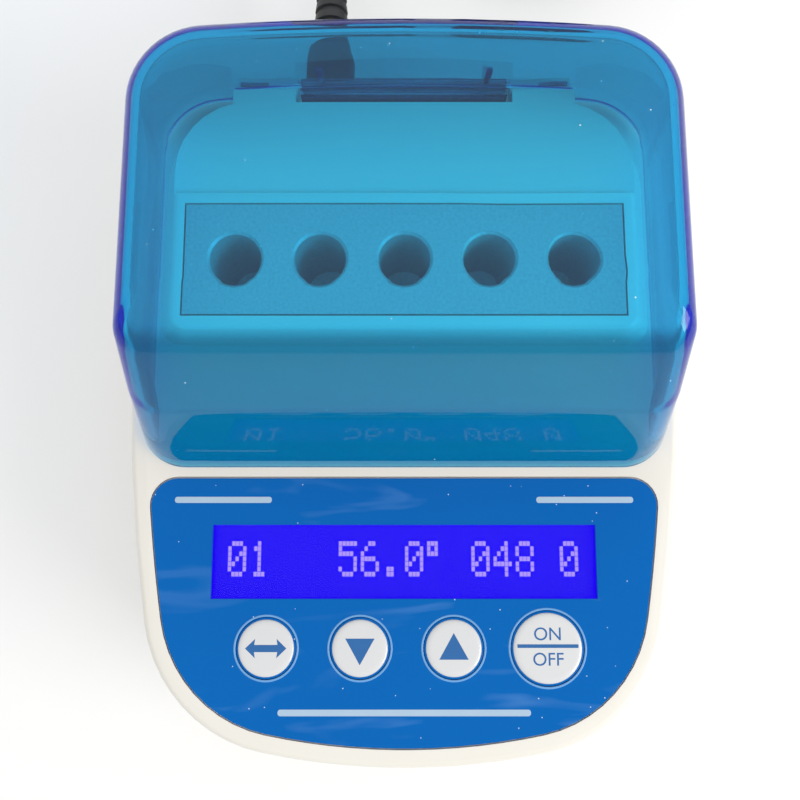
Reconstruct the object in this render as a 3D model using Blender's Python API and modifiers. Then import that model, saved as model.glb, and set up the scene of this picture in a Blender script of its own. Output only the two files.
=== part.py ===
"""Five-well dry-bath incubator for biological indicator vials.

A two-part moulded housing carries a drilled aluminium block under a hinged
clear lid, with a display, four keys and a low-voltage supply lead.
Front is -Y, up is +Z, and the origin is on the bench under the housing's centre.
"""
import bpy
import bmesh
from math import acos, atan2, cos, hypot, pi, radians, sin, sqrt, tan
from mathutils import Matrix, Vector

MM = 0.001

# Clearances shared by all mating pieces
GAP = 0.3 * MM
SLIDE_GAP = 0.3 * MM

# Wells: their number and pitch set the width of all that stands round them
WELL_COUNT = 5
WELL_PITCH = 14.4 * MM
WELL_RADIUS = 4.45 * MM
BLOCK_LENGTH = WELL_COUNT * WELL_PITCH + 2.8 * MM
BLOCK_WIDTH = 2 * WELL_RADIUS + 10.4 * MM
PLATFORM_HALF = BLOCK_LENGTH / 2 + 2.1 * MM

# Housing outline at the rim, seen from above
REAR_Y = 60.7 * MM
FRONT_Y = -REAR_Y
HALF_WIDTH = PLATFORM_HALF + 9.1 * MM
WIDEST_Y = 14.0 * MM
FRONT_BOW = 120.0 * MM
FRONT_CORNER = 26.0 * MM
SIDE_BOW = 300.0 * MM
REAR_CORNER = 16.0 * MM

# Housing heights and walls
BASE_Z = 2.0 * MM
SPLIT_Z = 13.0 * MM
DECK_Z = 38.0 * MM
EDGE_ROUND = 1.2 * MM
BASE_ROUND = 1.6 * MM
DRAFT = radians(2.0)
WALL = 2.2 * MM
DECK_WALL = 2.2 * MM
FLOOR_WALL = 2.2 * MM
LIP_WALL = 1.2 * MM
LIP_HEIGHT = 2.0 * MM

# Raised platform round the heating block
PLATFORM_Z = DECK_Z + 8.0 * MM
PLATFORM_FRONT = 11.2 * MM
PLATFORM_REAR = 52.5 * MM
PLATFORM_REAR_CORNER = 12.5 * MM
PLATFORM_FRONT_CORNER = 3.0 * MM
PLATFORM_SIDE_SLOPE = 0.47
PLATFORM_END_SLOPE = 0.20
PLATFORM_ROUND = 0.7 * MM
PLATFORM_WALL = 2.2 * MM
FRAME_STEP = 0.8 * MM
FRAME_REAR = 35.5 * MM

# Heating block and its wells
BLOCK_Y = 23.75 * MM
BLOCK_BOTTOM = PLATFORM_Z - 27.9 * MM
SHOULDER_LENGTH = BLOCK_LENGTH + 2.0 * MM
SHOULDER_WIDTH = BLOCK_WIDTH + 2.1 * MM
SHOULDER_ROUND = 1.0 * MM
WELL_DEPTH = 22.0 * MM
WELL_CHAMFER = 0.45 * MM
WELL_TIP = 1.3 * MM
PROBE_RADIUS = 1.5 * MM
PROBE_DEPTH = 6.0 * MM
PROBE_HEIGHT = 4.0 * MM

# Heater stack under the block
HEATER_THICKNESS = 1.5 * MM
HEATER_INSET = 1.5 * MM
PAD_THICKNESS = 2.9 * MM
CLAMP_THICKNESS = 1.2 * MM
CLAMP_WIDTH = 17.0 * MM
CLAMP_SCREW_X = BLOCK_LENGTH / 2 + 4.6 * MM
CLAMP_EDGE = 3.0 * MM
CLAMP_BOSS = 2.5 * MM
CUTOFF_SIZE = (18.0 * MM, 3.0 * MM, 6.0 * MM)
CUTOFF_ROUND = 0.5 * MM
CUTOFF_LIFT = 5.0 * MM

# Lid
LID_HALF = HALF_WIDTH - 2.8 * MM
LID_FRONT = -11.1 * MM
LID_REAR = REAR_Y - 1.2 * MM
LID_TOP = DECK_Z + 30.0 * MM
LID_WALL = 2.0 * MM
LID_FRONT_CORNER = 8.0 * MM
LID_CORNER_TAPER = 0.15
LID_TOP_CORNER = LID_WALL + 0.1 * MM
LID_REAR_CORNER = 12.5 * MM
LID_REAR_BOW = 420.0 * MM
LID_FOLD = 6.0 * MM
LID_SIDE_LEAN = radians(7.1)
LID_FRONT_LEAN = radians(27.5)
LID_REAR_RELIEF = 0.9 * MM
LID_RELIEF_Y = 50.0 * MM

# Hinge
HINGE_Y = REAR_Y - 1.8 * MM
HINGE_Z = DECK_Z + 3.0 * MM
PIN_RADIUS = 0.75 * MM
KNUCKLE_RADIUS = 1.75 * MM
BARREL_LENGTH = 37.5 * MM
BARREL_RIB_REACH = 2.6 * MM
LUG_LENGTH = 11.0 * MM
LUG_SHELF = 2.5 * MM
HINGE_END_GAP = 0.35 * MM
LUG_SLOT = (5.1 * MM, 1.0 * MM)
STOP_TAB_X = 14.8 * MM
STOP_TAB_WIDTH = 1.1 * MM
STOP_TAB_REACH = 2.9 * MM
STOP_TAB_HEIGHT = 8.0 * MM

# Front panel
OVERLAY_INSET = 3.35 * MM
OVERLAY_REAR = -13.0 * MM
OVERLAY_CORNER = 4.5 * MM
OVERLAY_THICKNESS = 0.5 * MM
OVERLAY_PROUD = 0.1 * MM
WINDOW_Y = -27.15 * MM
WINDOW_SIZE = (2 * HALF_WIDTH - 31.6 * MM, 12.4 * MM)
LENS_LEDGE = 0.8 * MM
LENS_THICKNESS = 1.2 * MM

# Keys, named from left to right, at an even pitch with the row's middle right of the panel's
KEY_Y = -41.4 * MM
KEY_ROW_X = 0.45 * MM
KEY_PITCH = 0.24 * WINDOW_SIZE[0]
SMALL_KEY = 5.1 * MM
LARGE_KEY = 6.2 * MM
KEYS = (
    ("key_cycle", KEY_ROW_X - 1.5 * KEY_PITCH, SMALL_KEY),
    ("key_down", KEY_ROW_X - 0.5 * KEY_PITCH, SMALL_KEY),
    ("key_up", KEY_ROW_X + 0.5 * KEY_PITCH, SMALL_KEY),
    ("key_start_stop", KEY_ROW_X + 1.5 * KEY_PITCH, LARGE_KEY),
)
KEY_PROUD = 0.35 * MM
KEY_EDGE = 0.5 * MM
KEY_FLANGE = 0.5 * MM
KEY_FLANGE_THICKNESS = 0.8 * MM
KEY_TRAVEL = 0.4 * MM
SWITCH_WIDTH = 6.0 * MM
SWITCH_BODY = 3.1 * MM
SWITCH_PLUNGER = 1.7 * MM

# Display and its board
GLASS_SIZE = (WINDOW_SIZE[0] + 2.0 * MM, WINDOW_SIZE[1] + 1.6 * MM, 2.0 * MM)
BACKLIGHT_THICKNESS = 3.0 * MM
BOARD_THICKNESS = 1.6 * MM
CONTROL_BOARD_HALF = GLASS_SIZE[0] / 2 + 0.2 * MM
CONTROL_BOARD_FRONT = -48.0 * MM
CONTROL_BOARD_REAR = -15.0 * MM

# Main board and what stands on it
MAIN_BOARD_Z = 8.0 * MM
MAIN_BOARD_HALF = HALF_WIDTH - 16.6 * MM
MAIN_BOARD_FRONT = -46.0 * MM
MAIN_BOARD_REAR = -4.0 * MM
BOARD_POST = 2.5 * MM
BOARD_POST_INSET = 4.0 * MM
CAPACITOR_RADIUS = 4.0 * MM
CAPACITOR_HEIGHT = 12.0 * MM
TRANSISTOR_SIZE = (10.0 * MM, 4.5 * MM, 15.0 * MM)
RIBBON_WIDTH = 12.0 * MM
RIBBON_THICKNESS = 0.8 * MM
RIBBON_BULGE = 2.0 * MM
RIBBON_Y = -18.0 * MM
HEATER_LEAD_X = 6.0 * MM - MAIN_BOARD_HALF
HEATER_LEAD_RADIUS = 0.9 * MM
PROBE_LEAD_RADIUS = 0.8 * MM
SUPPLY_LEAD_RADIUS = 1.1 * MM
LEAD_REACH = 4.0 * MM
LEAD_DROP = 1.0 * MM

# Screws and feet, front left, front right, rear left and rear right
FRONT_SCREW = (HALF_WIDTH - 11.2 * MM, -35.0 * MM)
REAR_SCREW = (HALF_WIDTH - 10.6 * MM, PLATFORM_REAR - 8.5 * MM)
COVER_SCREWS = tuple((side * x, y) for x, y in (FRONT_SCREW, REAR_SCREW) for side in (-1, 1))
SCREW_RADIUS = 1.45 * MM
SCREW_HEAD_RADIUS = 2.8 * MM
SCREW_HEAD_HEIGHT = 2.0 * MM
SCREW_LENGTH = 22.0 * MM
SCREW_SINK = 0.7 * MM
COVER_BOSS = 3.0 * MM
BASE_BOSS = 4.5 * MM
CLAMP_SCREW_LENGTH = 9.0 * MM
FRONT_FOOT = (HALF_WIDTH - 17.6 * MM, -43.0 * MM)
REAR_FOOT = (HALF_WIDTH - 15.6 * MM, 30.0 * MM)
FEET = tuple((side * x, y) for x, y in (FRONT_FOOT, REAR_FOOT) for side in (-1, 1))
FOOT_RADIUS = 4.5 * MM
FOOT_HEIGHT = 2.3 * MM
FOOT_POCKET = 0.6 * MM

# Supply socket, plug and lead
JACK_X = -15.4 * MM
JACK_Z = 20.0 * MM
JACK_SIZE = (9.0 * MM, 14.0 * MM, 11.0 * MM)
JACK_BORE = 3.2 * MM
JACK_DEPTH = 9.5 * MM
JACK_PIN = 1.0 * MM
PLUG_BARREL = 2.75 * MM
PLUG_BORE = 1.35 * MM
PLUG_BARREL_LENGTH = 9.0 * MM
PLUG_RADIUS = 5.1 * MM
PLUG_NECK = 4.15 * MM
PLUG_EDGE = 0.6 * MM
PLUG_BODY_LENGTH = 15.0 * MM
PLUG_TAPER_LENGTH = 4.4 * MM
RELIEF_ROOT = 3.9 * MM
RELIEF_TIP = 2.5 * MM
RELIEF_LENGTH = 20.0 * MM
RELIEF_RIBS = 6
RELIEF_GROOVE = 0.6 * MM
CORD_RADIUS = 1.8 * MM
CORD_ROUTE = (
    (-15.4 * MM, 101.8 * MM, 20.0 * MM),
    (-15.3 * MM, 107.0 * MM, 19.4 * MM),
    (-14.4 * MM, 113.0 * MM, 16.6 * MM),
    (-12.4 * MM, 119.0 * MM, 11.6 * MM),
    (-9.4 * MM, 125.0 * MM, 6.4 * MM),
    (-5.8 * MM, 131.5 * MM, 3.1 * MM),
    (-2.2 * MM, 138.5 * MM, 2.1 * MM),
    (0.6 * MM, 146.0 * MM, 2.0 * MM),
    (2.0 * MM, 152.0 * MM, 2.0 * MM),
)
COIL_CENTRE = (-21.6 * MM, 166.0 * MM)
COIL_MEAN_RADIUS = 20.0 * MM
COIL_COLUMNS = 3
COIL_LAYERS = 3
COIL_FLOOR = 0.2 * MM
LEAD_ROUTE = (
    (2.0 * MM, 180.0 * MM, 9.2 * MM),
    (2.4 * MM, 186.0 * MM, 9.2 * MM),
    (4.6 * MM, 192.5 * MM, 9.6 * MM),
    (9.6 * MM, 198.0 * MM, 10.6 * MM),
    (16.6 * MM, 200.6 * MM, 12.0 * MM),
    (23.6 * MM, 199.2 * MM, 13.2 * MM),
    (28.8 * MM, 194.6 * MM, 13.9 * MM),
    (31.0 * MM, 188.6 * MM, 14.0 * MM),
    (31.2 * MM, 182.6 * MM, 14.0 * MM),
)
ADAPTER_CENTRE = (31.2 * MM, 140.0 * MM)
ADAPTER_SIZE = (33.0 * MM, 48.0 * MM, 27.0 * MM)
ADAPTER_ROUND = 3.0 * MM
ADAPTER_RELIEF_LENGTH = 18.0 * MM
BLADE_SIZE = (1.6 * MM, 6.3 * MM, 16.0 * MM)
BLADE_SPACING = 12.7 * MM
BLADE_Y_INSET = 14.0 * MM

# Heights worked out from the sizes above
FLOOR_Z = BASE_Z + FLOOR_WALL
DECK_UNDER = DECK_Z - DECK_WALL
PLATFORM_UNDER = PLATFORM_Z - FRAME_STEP - PLATFORM_WALL
LID_RIM = DECK_Z + GAP
OVERLAY_TOP = DECK_Z + OVERLAY_PROUD
OVERLAY_BOTTOM = OVERLAY_TOP - OVERLAY_THICKNESS
RECESS_Z = OVERLAY_BOTTOM - GAP
LENS_TOP = OVERLAY_BOTTOM - GAP
LENS_BOTTOM = LENS_TOP - LENS_THICKNESS
GLASS_TOP = min(LENS_BOTTOM, DECK_UNDER) - GAP
GLASS_BOTTOM = GLASS_TOP - GLASS_SIZE[2]
BACKLIGHT_TOP = GLASS_BOTTOM - GAP
BACKLIGHT_BOTTOM = BACKLIGHT_TOP - BACKLIGHT_THICKNESS
CONTROL_BOARD_TOP = BACKLIGHT_BOTTOM - GAP
KEY_FLANGE_TOP = DECK_UNDER - GAP
KEY_BOTTOM = KEY_FLANGE_TOP - KEY_FLANGE_THICKNESS
HEATER_TOP = BLOCK_BOTTOM - GAP
PAD_TOP = HEATER_TOP - HEATER_THICKNESS - GAP
CLAMP_TOP = PAD_TOP - PAD_THICKNESS - GAP
CLAMP_BOTTOM = CLAMP_TOP - CLAMP_THICKNESS


def collection(name):
    """A new collection in the scene."""
    made = bpy.data.collections.new(name)
    bpy.context.scene.collection.children.link(made)
    return made


def material(name, colour, roughness, metallic=0.0, alpha=1.0):
    """A Principled material of one colour."""
    made = bpy.data.materials.new(name)
    made.use_nodes = True
    shader = made.node_tree.nodes["Principled BSDF"]
    shader.inputs["Base Color"].default_value = (*colour, 1.0)
    shader.inputs["Roughness"].default_value = roughness
    shader.inputs["Metallic"].default_value = metallic
    shader.inputs["Alpha"].default_value = alpha
    return made


def place(mesh, name, group, finish=None):
    """An object for a mesh, in the parts or among the cutters."""
    made = bpy.data.objects.new(name, mesh)
    group.objects.link(made)
    if finish:
        mesh.materials.append(finish)
    if group == CUTTERS:
        made.hide_render = True
        made.display_type = "WIRE"
    return made


def from_bmesh(bm, name, group, finish=None):
    """An object from a bmesh, its faces turned outwards."""
    bmesh.ops.recalc_face_normals(bm, faces=bm.faces)
    mesh = bpy.data.meshes.new(name)
    bm.to_mesh(mesh)
    bm.free()
    return place(mesh, name, group, finish)


def box(name, low, high, group, finish=None, rounding=0.0):
    """A box between two corners, its edges rounded if asked."""
    bm = bmesh.new()
    size = Vector(high) - Vector(low)
    middle = (Vector(high) + Vector(low)) / 2
    bmesh.ops.create_cube(bm, size=1.0, matrix=Matrix.Translation(middle) @ Matrix.Diagonal((*size, 1.0)))
    made = from_bmesh(bm, name, group, finish)
    if rounding:
        bevel = made.modifiers.new("edges", "BEVEL")
        bevel.width = rounding
        bevel.segments = 2
    return made


def cylinder(name, radius, start, end, group, finish=None, sides=16):
    """A cylinder from one point to another."""
    start = Vector(start)
    along = Vector(end) - start
    turn = Vector((0, 0, 1)).rotation_difference(along).to_matrix().to_4x4()
    bm = bmesh.new()
    bmesh.ops.create_cone(
        bm, cap_ends=True, segments=sides, radius1=radius, radius2=radius, depth=along.length,
        matrix=Matrix.Translation(start + along / 2) @ turn,
    )
    return from_bmesh(bm, name, group, finish)


def turned(name, profile, at, group, finish=None, sides=24, along_y=False):
    """A turned solid: a profile of (radius, height) points from its top to its bottom."""
    mesh = bpy.data.meshes.new(name)
    points = [(radius, 0.0, height) for radius, height in profile]
    mesh.from_pydata(points, [(i, i + 1) for i in range(len(points) - 1)], [])
    made = place(mesh, name, group, finish)
    made.location = at
    if along_y:
        made.rotation_euler = (-pi / 2, 0.0, 0.0)
    spin = made.modifiers.new("turn", "SCREW")
    spin.steps = sides
    spin.render_steps = sides
    spin.use_merge_vertices = True
    spin.merge_threshold = 0.00001
    return made


def loft(name, rings, group, finish=None, closed=True):
    """A skin through rings of points, each ring with as many points as the last."""
    bm = bmesh.new()
    rows = [[bm.verts.new(point) for point in ring] for ring in rings]
    for lower, upper in zip(rows, rows[1:]):
        for i, corner in enumerate(lower):
            j = (i + 1) % len(lower)
            bm.faces.new((corner, lower[j], upper[j], upper[i]))
    bm.faces.new(rows[-1])
    if closed:
        bm.faces.new(rows[0])
    return from_bmesh(bm, name, group, finish)


def prism(name, outline, low, high, group, finish=None):
    """A flat outline of (x, y) points given a height."""
    rings = [[(x, y, z) for x, y in outline] for z in (low, high)]
    return loft(name, rings, group, finish)


def side_prism(name, outline, low, high, group, finish=None):
    """A flat outline of (y, z) points given a width along X."""
    rings = [[(x, y, z) for y, z in outline] for x in (low, high)]
    return loft(name, rings, group, finish)


def cord(name, route, radius, group, finish):
    """A round cord through its route's points, on one smooth curve."""
    points = smooth(route)
    curve = bpy.data.curves.new(name, "CURVE")
    curve.dimensions = "3D"
    curve.bevel_depth = radius
    curve.bevel_resolution = 2
    curve.use_fill_caps = True
    spline = curve.splines.new("POLY")
    spline.points.add(len(points) - 1)
    for point, at in zip(spline.points, points):
        point.co = (*at, 1.0)
    made = bpy.data.objects.new(name, curve)
    group.objects.link(made)
    curve.materials.append(finish)
    return made


def smooth(route, steps=3):
    """Points on a smooth curve through a route, a few for each stretch."""
    route = [Vector(point) for point in route]
    ends = [2 * route[0] - route[1]] + route + [2 * route[-1] - route[-2]]
    found = []
    for before, start, end, after in zip(ends, ends[1:], ends[2:], ends[3:]):
        for step in range(steps):
            t = step / steps
            found.append(
                ((2 * start) + (end - before) * t + (2 * before - 5 * start + 4 * end - after) * t ** 2
                 + (3 * start - before - 3 * end + after) * t ** 3) / 2
            )
    return found + [route[-1]]


def combine(target, other, operation):
    """A Boolean modifier that cuts or joins another object."""
    change = target.modifiers.new(other.name, "BOOLEAN")
    change.operation = operation
    change.object = other


def cut(target, other):
    combine(target, other, "DIFFERENCE")


def join(target, other):
    combine(target, other, "UNION")


def move_origin(made, point):
    """Puts an object's origin on its joint and leaves its shape where it is."""
    made.data.transform(Matrix.Translation(-Vector(point)))
    made.location = point


def shade(made, angle=radians(35)):
    """Smooth shading with sharp edges kept."""
    made.data.shade_smooth()
    made.data.set_sharp_from_angle(angle=angle)


def arc(centre, radius, start, end, steps):
    """Points on an arc in the plane, its last point left to the next arc."""
    return [
        (centre[0] + radius * cos(start + (end - start) * i / steps),
         centre[1] + radius * sin(start + (end - start) * i / steps))
        for i in range(steps)
    ]


def bearing(centre, point):
    """The direction from one point of the plane to another, in radians."""
    return atan2(point[1] - centre[1], point[0] - centre[0])


def mirrored(half):
    """A closed outline from its right half, which runs from front to rear."""
    return half + [(-x, y) for x, y in reversed(half)]


def housing_outline(inset, rear=None, rear_corner=None):
    """The housing's outline, moved in by the inset; the rear edge can be cut off nearer."""
    rear = REAR_Y - inset if rear is None else rear
    rear_corner = REAR_CORNER - inset if rear_corner is None else rear_corner
    bow = (0.0, FRONT_Y + FRONT_BOW)
    side = (HALF_WIDTH - SIDE_BOW, WIDEST_Y)
    reach_bow = FRONT_BOW - FRONT_CORNER
    reach_side = SIDE_BOW - FRONT_CORNER
    apart = hypot(side[0] - bow[0], side[1] - bow[1])
    share = (reach_bow ** 2 - reach_side ** 2 + apart ** 2) / (2 * apart)
    angle = bearing(bow, side) + acos(share / reach_bow)
    front = (bow[0] + reach_bow * cos(angle), bow[1] + reach_bow * sin(angle))
    back_y = rear - rear_corner
    back = (side[0] + sqrt((SIDE_BOW - inset - rear_corner) ** 2 - (back_y - side[1]) ** 2), back_y)
    turn_in = bearing(bow, front)
    turn_out = bearing(side, front)
    turn_back = bearing(side, back)
    half = arc(bow, FRONT_BOW - inset, -pi / 2 + 0.012, turn_in, 6)
    half += arc(front, FRONT_CORNER - inset, turn_in, turn_out, 10)
    half += arc(side, SIDE_BOW - inset, turn_out, turn_back, 6)
    half += arc(back, rear_corner, turn_back, pi / 2, 7)
    half.append((back[0], rear))
    return mirrored(half)


def rounded_rectangle(half, front, rear, front_corner, rear_corner):
    """A rectangle, symmetric about X = 0, with its own radii in front and at the rear."""
    steps = 7
    right = arc((half - front_corner, front + front_corner), front_corner, -pi / 2, 0, steps)
    right.append((half, front + front_corner))
    right += arc((half - rear_corner, rear - rear_corner), rear_corner, 0, pi / 2, steps)
    right.append((half - rear_corner, rear))
    return mirrored(right)


def at_height(outline, z):
    return [(x, y, z) for x, y in outline]


def wall_inset(z):
    """How far the drafted housing wall stands outside the rim's outline at a height."""
    return -max(DECK_Z - EDGE_ROUND - z, 0.0) * tan(DRAFT)


def platform_ring(z, inset):
    """The platform's outline at a height, its sides sloping outwards below its top."""
    drop = PLATFORM_Z - z
    side = drop * PLATFORM_SIDE_SLOPE - inset
    end = drop * PLATFORM_END_SLOPE - inset
    outline = rounded_rectangle(
        PLATFORM_HALF + side, PLATFORM_FRONT - end, PLATFORM_REAR + end,
        max(PLATFORM_FRONT_CORNER + end, GAP), PLATFORM_REAR_CORNER + end,
    )
    return at_height(outline, z)


def jack_face():
    """The Y of the socket's face, just inside the drafted rear wall."""
    return REAR_Y - wall_inset(JACK_Z) - GAP


def top_cover():
    """The upper housing shell: skirt, deck, platform, hinge lugs and all openings."""
    skirt_z = SPLIT_Z + GAP / 2
    round_steps = (30, 60, 90)
    rings = [at_height(housing_outline(wall_inset(skirt_z)), skirt_z)]
    rings.append(at_height(housing_outline(0.0), DECK_Z - EDGE_ROUND))
    for angle in round_steps:
        inset = EDGE_ROUND * (1 - cos(radians(angle)))
        rings.append(at_height(housing_outline(inset), DECK_Z - EDGE_ROUND * (1 - sin(radians(angle)))))
    cover = loft("top_cover", rings, PARTS, IVORY)

    top_round = PLATFORM_ROUND * (1 - cos(radians(45)))
    rings = [platform_ring(DECK_Z - GAP, 0.0), platform_ring(PLATFORM_Z - PLATFORM_ROUND, 0.0)]
    rings.append(platform_ring(PLATFORM_Z - top_round, top_round))
    rings.append(platform_ring(PLATFORM_Z, PLATFORM_ROUND))
    join(cover, loft("platform_form", rings, CUTTERS))
    for side in (-1, 1):
        join(cover, hinge_lug(side))

    low, high = skirt_z - WALL, DECK_UNDER
    rings = [at_height(housing_outline(WALL + wall_inset(z)), z) for z in (low, high)]
    cut(cover, loft("deck_hollow", rings, CUTTERS))
    rings = [platform_ring(z, PLATFORM_WALL) for z in (DECK_UNDER - WALL, PLATFORM_UNDER)]
    cut(cover, loft("platform_hollow", rings, CUTTERS))

    step = box("rear_step", (-HALF_WIDTH, FRAME_REAR, PLATFORM_Z - FRAME_STEP),
               (HALF_WIDTH, REAR_Y, PLATFORM_Z + WALL), CUTTERS)
    cut(cover, step)
    half_x = BLOCK_LENGTH / 2 + GAP
    half_y = BLOCK_WIDTH / 2 + GAP
    cut(cover, box("block_opening", (-half_x, BLOCK_Y - half_y, PLATFORM_UNDER - WALL),
                   (half_x, BLOCK_Y + half_y, PLATFORM_Z + WALL), CUTTERS))

    recess = housing_outline(OVERLAY_INSET - SLIDE_GAP, OVERLAY_REAR + SLIDE_GAP, OVERLAY_CORNER + SLIDE_GAP)
    cut(cover, prism("overlay_recess", recess, RECESS_Z, DECK_Z + WALL, CUTTERS))
    half_x = WINDOW_SIZE[0] / 2 + LENS_LEDGE + SLIDE_GAP
    half_y = WINDOW_SIZE[1] / 2 + LENS_LEDGE + SLIDE_GAP
    cut(cover, box("lens_opening", (-half_x, WINDOW_Y - half_y, DECK_UNDER - WALL),
                   (half_x, WINDOW_Y + half_y, DECK_Z), CUTTERS))
    for name, x, radius in KEYS:
        cut(cover, cylinder(name + "_hole", radius + SLIDE_GAP, (x, KEY_Y, DECK_UNDER - WALL),
                            (x, KEY_Y, DECK_Z + WALL), CUTTERS, sides=28))

    half_x = JACK_SIZE[0] / 2 + GAP
    half_z = JACK_SIZE[2] / 2 + GAP
    cut(cover, box("jack_opening", (JACK_X - half_x, REAR_Y - 2 * WALL, JACK_Z - half_z),
                   (JACK_X + half_x, REAR_Y + WALL, JACK_Z + half_z), CUTTERS))

    boss_low = SPLIT_Z + GAP / 2
    for i, (x, y) in enumerate(COVER_SCREWS):
        under = PLATFORM_UNDER - WALL if y > PLATFORM_FRONT else DECK_UNDER
        boss = cylinder(f"cover_boss_{i}", COVER_BOSS, (x, y, boss_low), (x, y, under + GAP), CUTTERS)
        join(cover, boss)
        cut(cover, cylinder(f"cover_pilot_{i}", SCREW_RADIUS + GAP, (x, y, boss_low - WALL),
                            (x, y, screw_tip() + GAP), CUTTERS))
    for side in (-1, 1):
        x = side * CLAMP_SCREW_X
        boss = cylinder(f"clamp_boss_{side}", CLAMP_BOSS, (x, BLOCK_Y, CLAMP_TOP + GAP),
                        (x, BLOCK_Y, DECK_UNDER + GAP), CUTTERS)
        join(cover, boss)
        top = CLAMP_BOTTOM + CLAMP_SCREW_LENGTH + GAP
        cut(cover, cylinder(f"clamp_pilot_{side}", SCREW_RADIUS + GAP, (x, BLOCK_Y, CLAMP_BOTTOM),
                            (x, BLOCK_Y, top), CUTTERS))

    lug_end = BARREL_LENGTH / 2 + HINGE_END_GAP + LUG_LENGTH
    bore = cylinder("pin_bore", PIN_RADIUS + GAP, (-lug_end - WALL, HINGE_Y, HINGE_Z),
                    (lug_end + WALL, HINGE_Y, HINGE_Z), CUTTERS)
    cut(cover, bore)
    for side in (-1, 1):
        middle = side * (lug_end - LUG_SLOT[0] / 2 - LUG_SLOT[1] / 2)
        half_x, half_y = LUG_SLOT[0] / 2, LUG_SLOT[1] / 2
        cut(cover, box(f"lug_slot_{side}", (middle - half_x, HINGE_Y - half_y, HINGE_Z),
                       (middle + half_x, HINGE_Y + half_y, HINGE_Z + 2 * KNUCKLE_RADIUS), CUTTERS))
    return cover


def hinge_lug(side):
    """One moulded lug: a shelf level with the platform, a step down, and the round knuckle behind it."""
    inner = BARREL_LENGTH / 2 + HINGE_END_GAP
    shelf = PLATFORM_Z - FRAME_STEP
    stem = DECK_Z - EDGE_ROUND + GAP
    outline = [
        (PLATFORM_REAR - WALL, stem), (PLATFORM_REAR - WALL, shelf), (PLATFORM_REAR + LUG_SHELF, shelf),
        (PLATFORM_REAR + LUG_SHELF + GAP, HINGE_Z + KNUCKLE_RADIUS),
    ]
    outline += [(HINGE_Y + KNUCKLE_RADIUS * sin(radians(a)), HINGE_Z + KNUCKLE_RADIUS * cos(radians(a)))
                for a in range(0, 91, 15)]
    outline.append((HINGE_Y + KNUCKLE_RADIUS, stem))
    low, high = sorted((side * inner, side * (inner + LUG_LENGTH)))
    return side_prism(f"hinge_lug_{side}", outline, low, high, CUTTERS)


def bottom_cover():
    """The lower tray with its lip, screw bosses, foot pockets and board posts."""
    edge = SPLIT_Z - GAP / 2
    rings = []
    for angle in (0, 45, 90):
        inset = BASE_ROUND * (1 - sin(radians(angle)))
        rise = BASE_ROUND * (1 - cos(radians(angle)))
        z = BASE_Z + rise
        rings.append(at_height(housing_outline(wall_inset(z) + inset), z))
    rings.append(at_height(housing_outline(wall_inset(edge)), edge))
    tray = loft("bottom_cover", rings, PARTS, IVORY)

    lip_outer = WALL + GAP + wall_inset(edge)
    lip_top = edge + LIP_HEIGHT
    join(tray, prism("lip_form", housing_outline(lip_outer), FLOOR_Z, lip_top, CUTTERS))
    rings = [at_height(housing_outline(lip_outer + LIP_WALL), z) for z in (FLOOR_Z, lip_top + WALL)]
    cut(tray, loft("tray_hollow", rings, CUTTERS))
    half_x = JACK_SIZE[0] / 2 + WALL
    cut(tray, box("socket_relief", (JACK_X - half_x, jack_face() - JACK_SIZE[1], edge),
                  (JACK_X + half_x, REAR_Y + WALL, lip_top + WALL), CUTTERS))

    head_room = BASE_Z + SCREW_SINK + SCREW_HEAD_HEIGHT + GAP
    for i, (x, y) in enumerate(COVER_SCREWS):
        boss = cylinder(f"base_boss_{i}", BASE_BOSS, (x, y, FLOOR_Z - GAP), (x, y, edge), CUTTERS)
        join(tray, boss)
        cut(tray, cylinder(f"head_pocket_{i}", SCREW_HEAD_RADIUS + GAP, (x, y, 0.0), (x, y, head_room),
                           CUTTERS))
        cut(tray, cylinder(f"screw_way_{i}", SCREW_RADIUS + GAP, (x, y, 0.0), (x, y, edge + WALL), CUTTERS))
    for i, (x, y) in enumerate(FEET):
        cut(tray, cylinder(f"foot_pocket_{i}", FOOT_RADIUS + GAP, (x, y, 0.0),
                           (x, y, BASE_Z + FOOT_POCKET), CUTTERS, sides=20))
    for i, (x, y) in enumerate(board_posts()):
        join(tray, cylinder(f"board_post_{i}", BOARD_POST, (x, y, FLOOR_Z - GAP),
                            (x, y, MAIN_BOARD_Z - GAP), CUTTERS))
    return tray


def board_posts():
    """The centres of the posts under the main board's corners."""
    x = MAIN_BOARD_HALF - BOARD_POST_INSET
    rows = (MAIN_BOARD_FRONT + BOARD_POST_INSET, MAIN_BOARD_REAR - BOARD_POST_INSET)
    return [(side * x, y) for side in (-1, 1) for y in rows]


def lid_wall(z, lean):
    """How far a leaning lid wall has come in at a height, and the fold's share of it."""
    start = LID_TOP - LID_FOLD * (1 - sin(lean))
    if z <= start:
        return (z - LID_RIM) * tan(lean), 0.0
    turn = sqrt(max(1 - (1 - (LID_TOP - z) / LID_FOLD) ** 2, 0.0))
    fold = LID_FOLD * (cos(lean) - turn)
    return (start - LID_RIM) * tan(lean) + fold, fold


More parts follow.
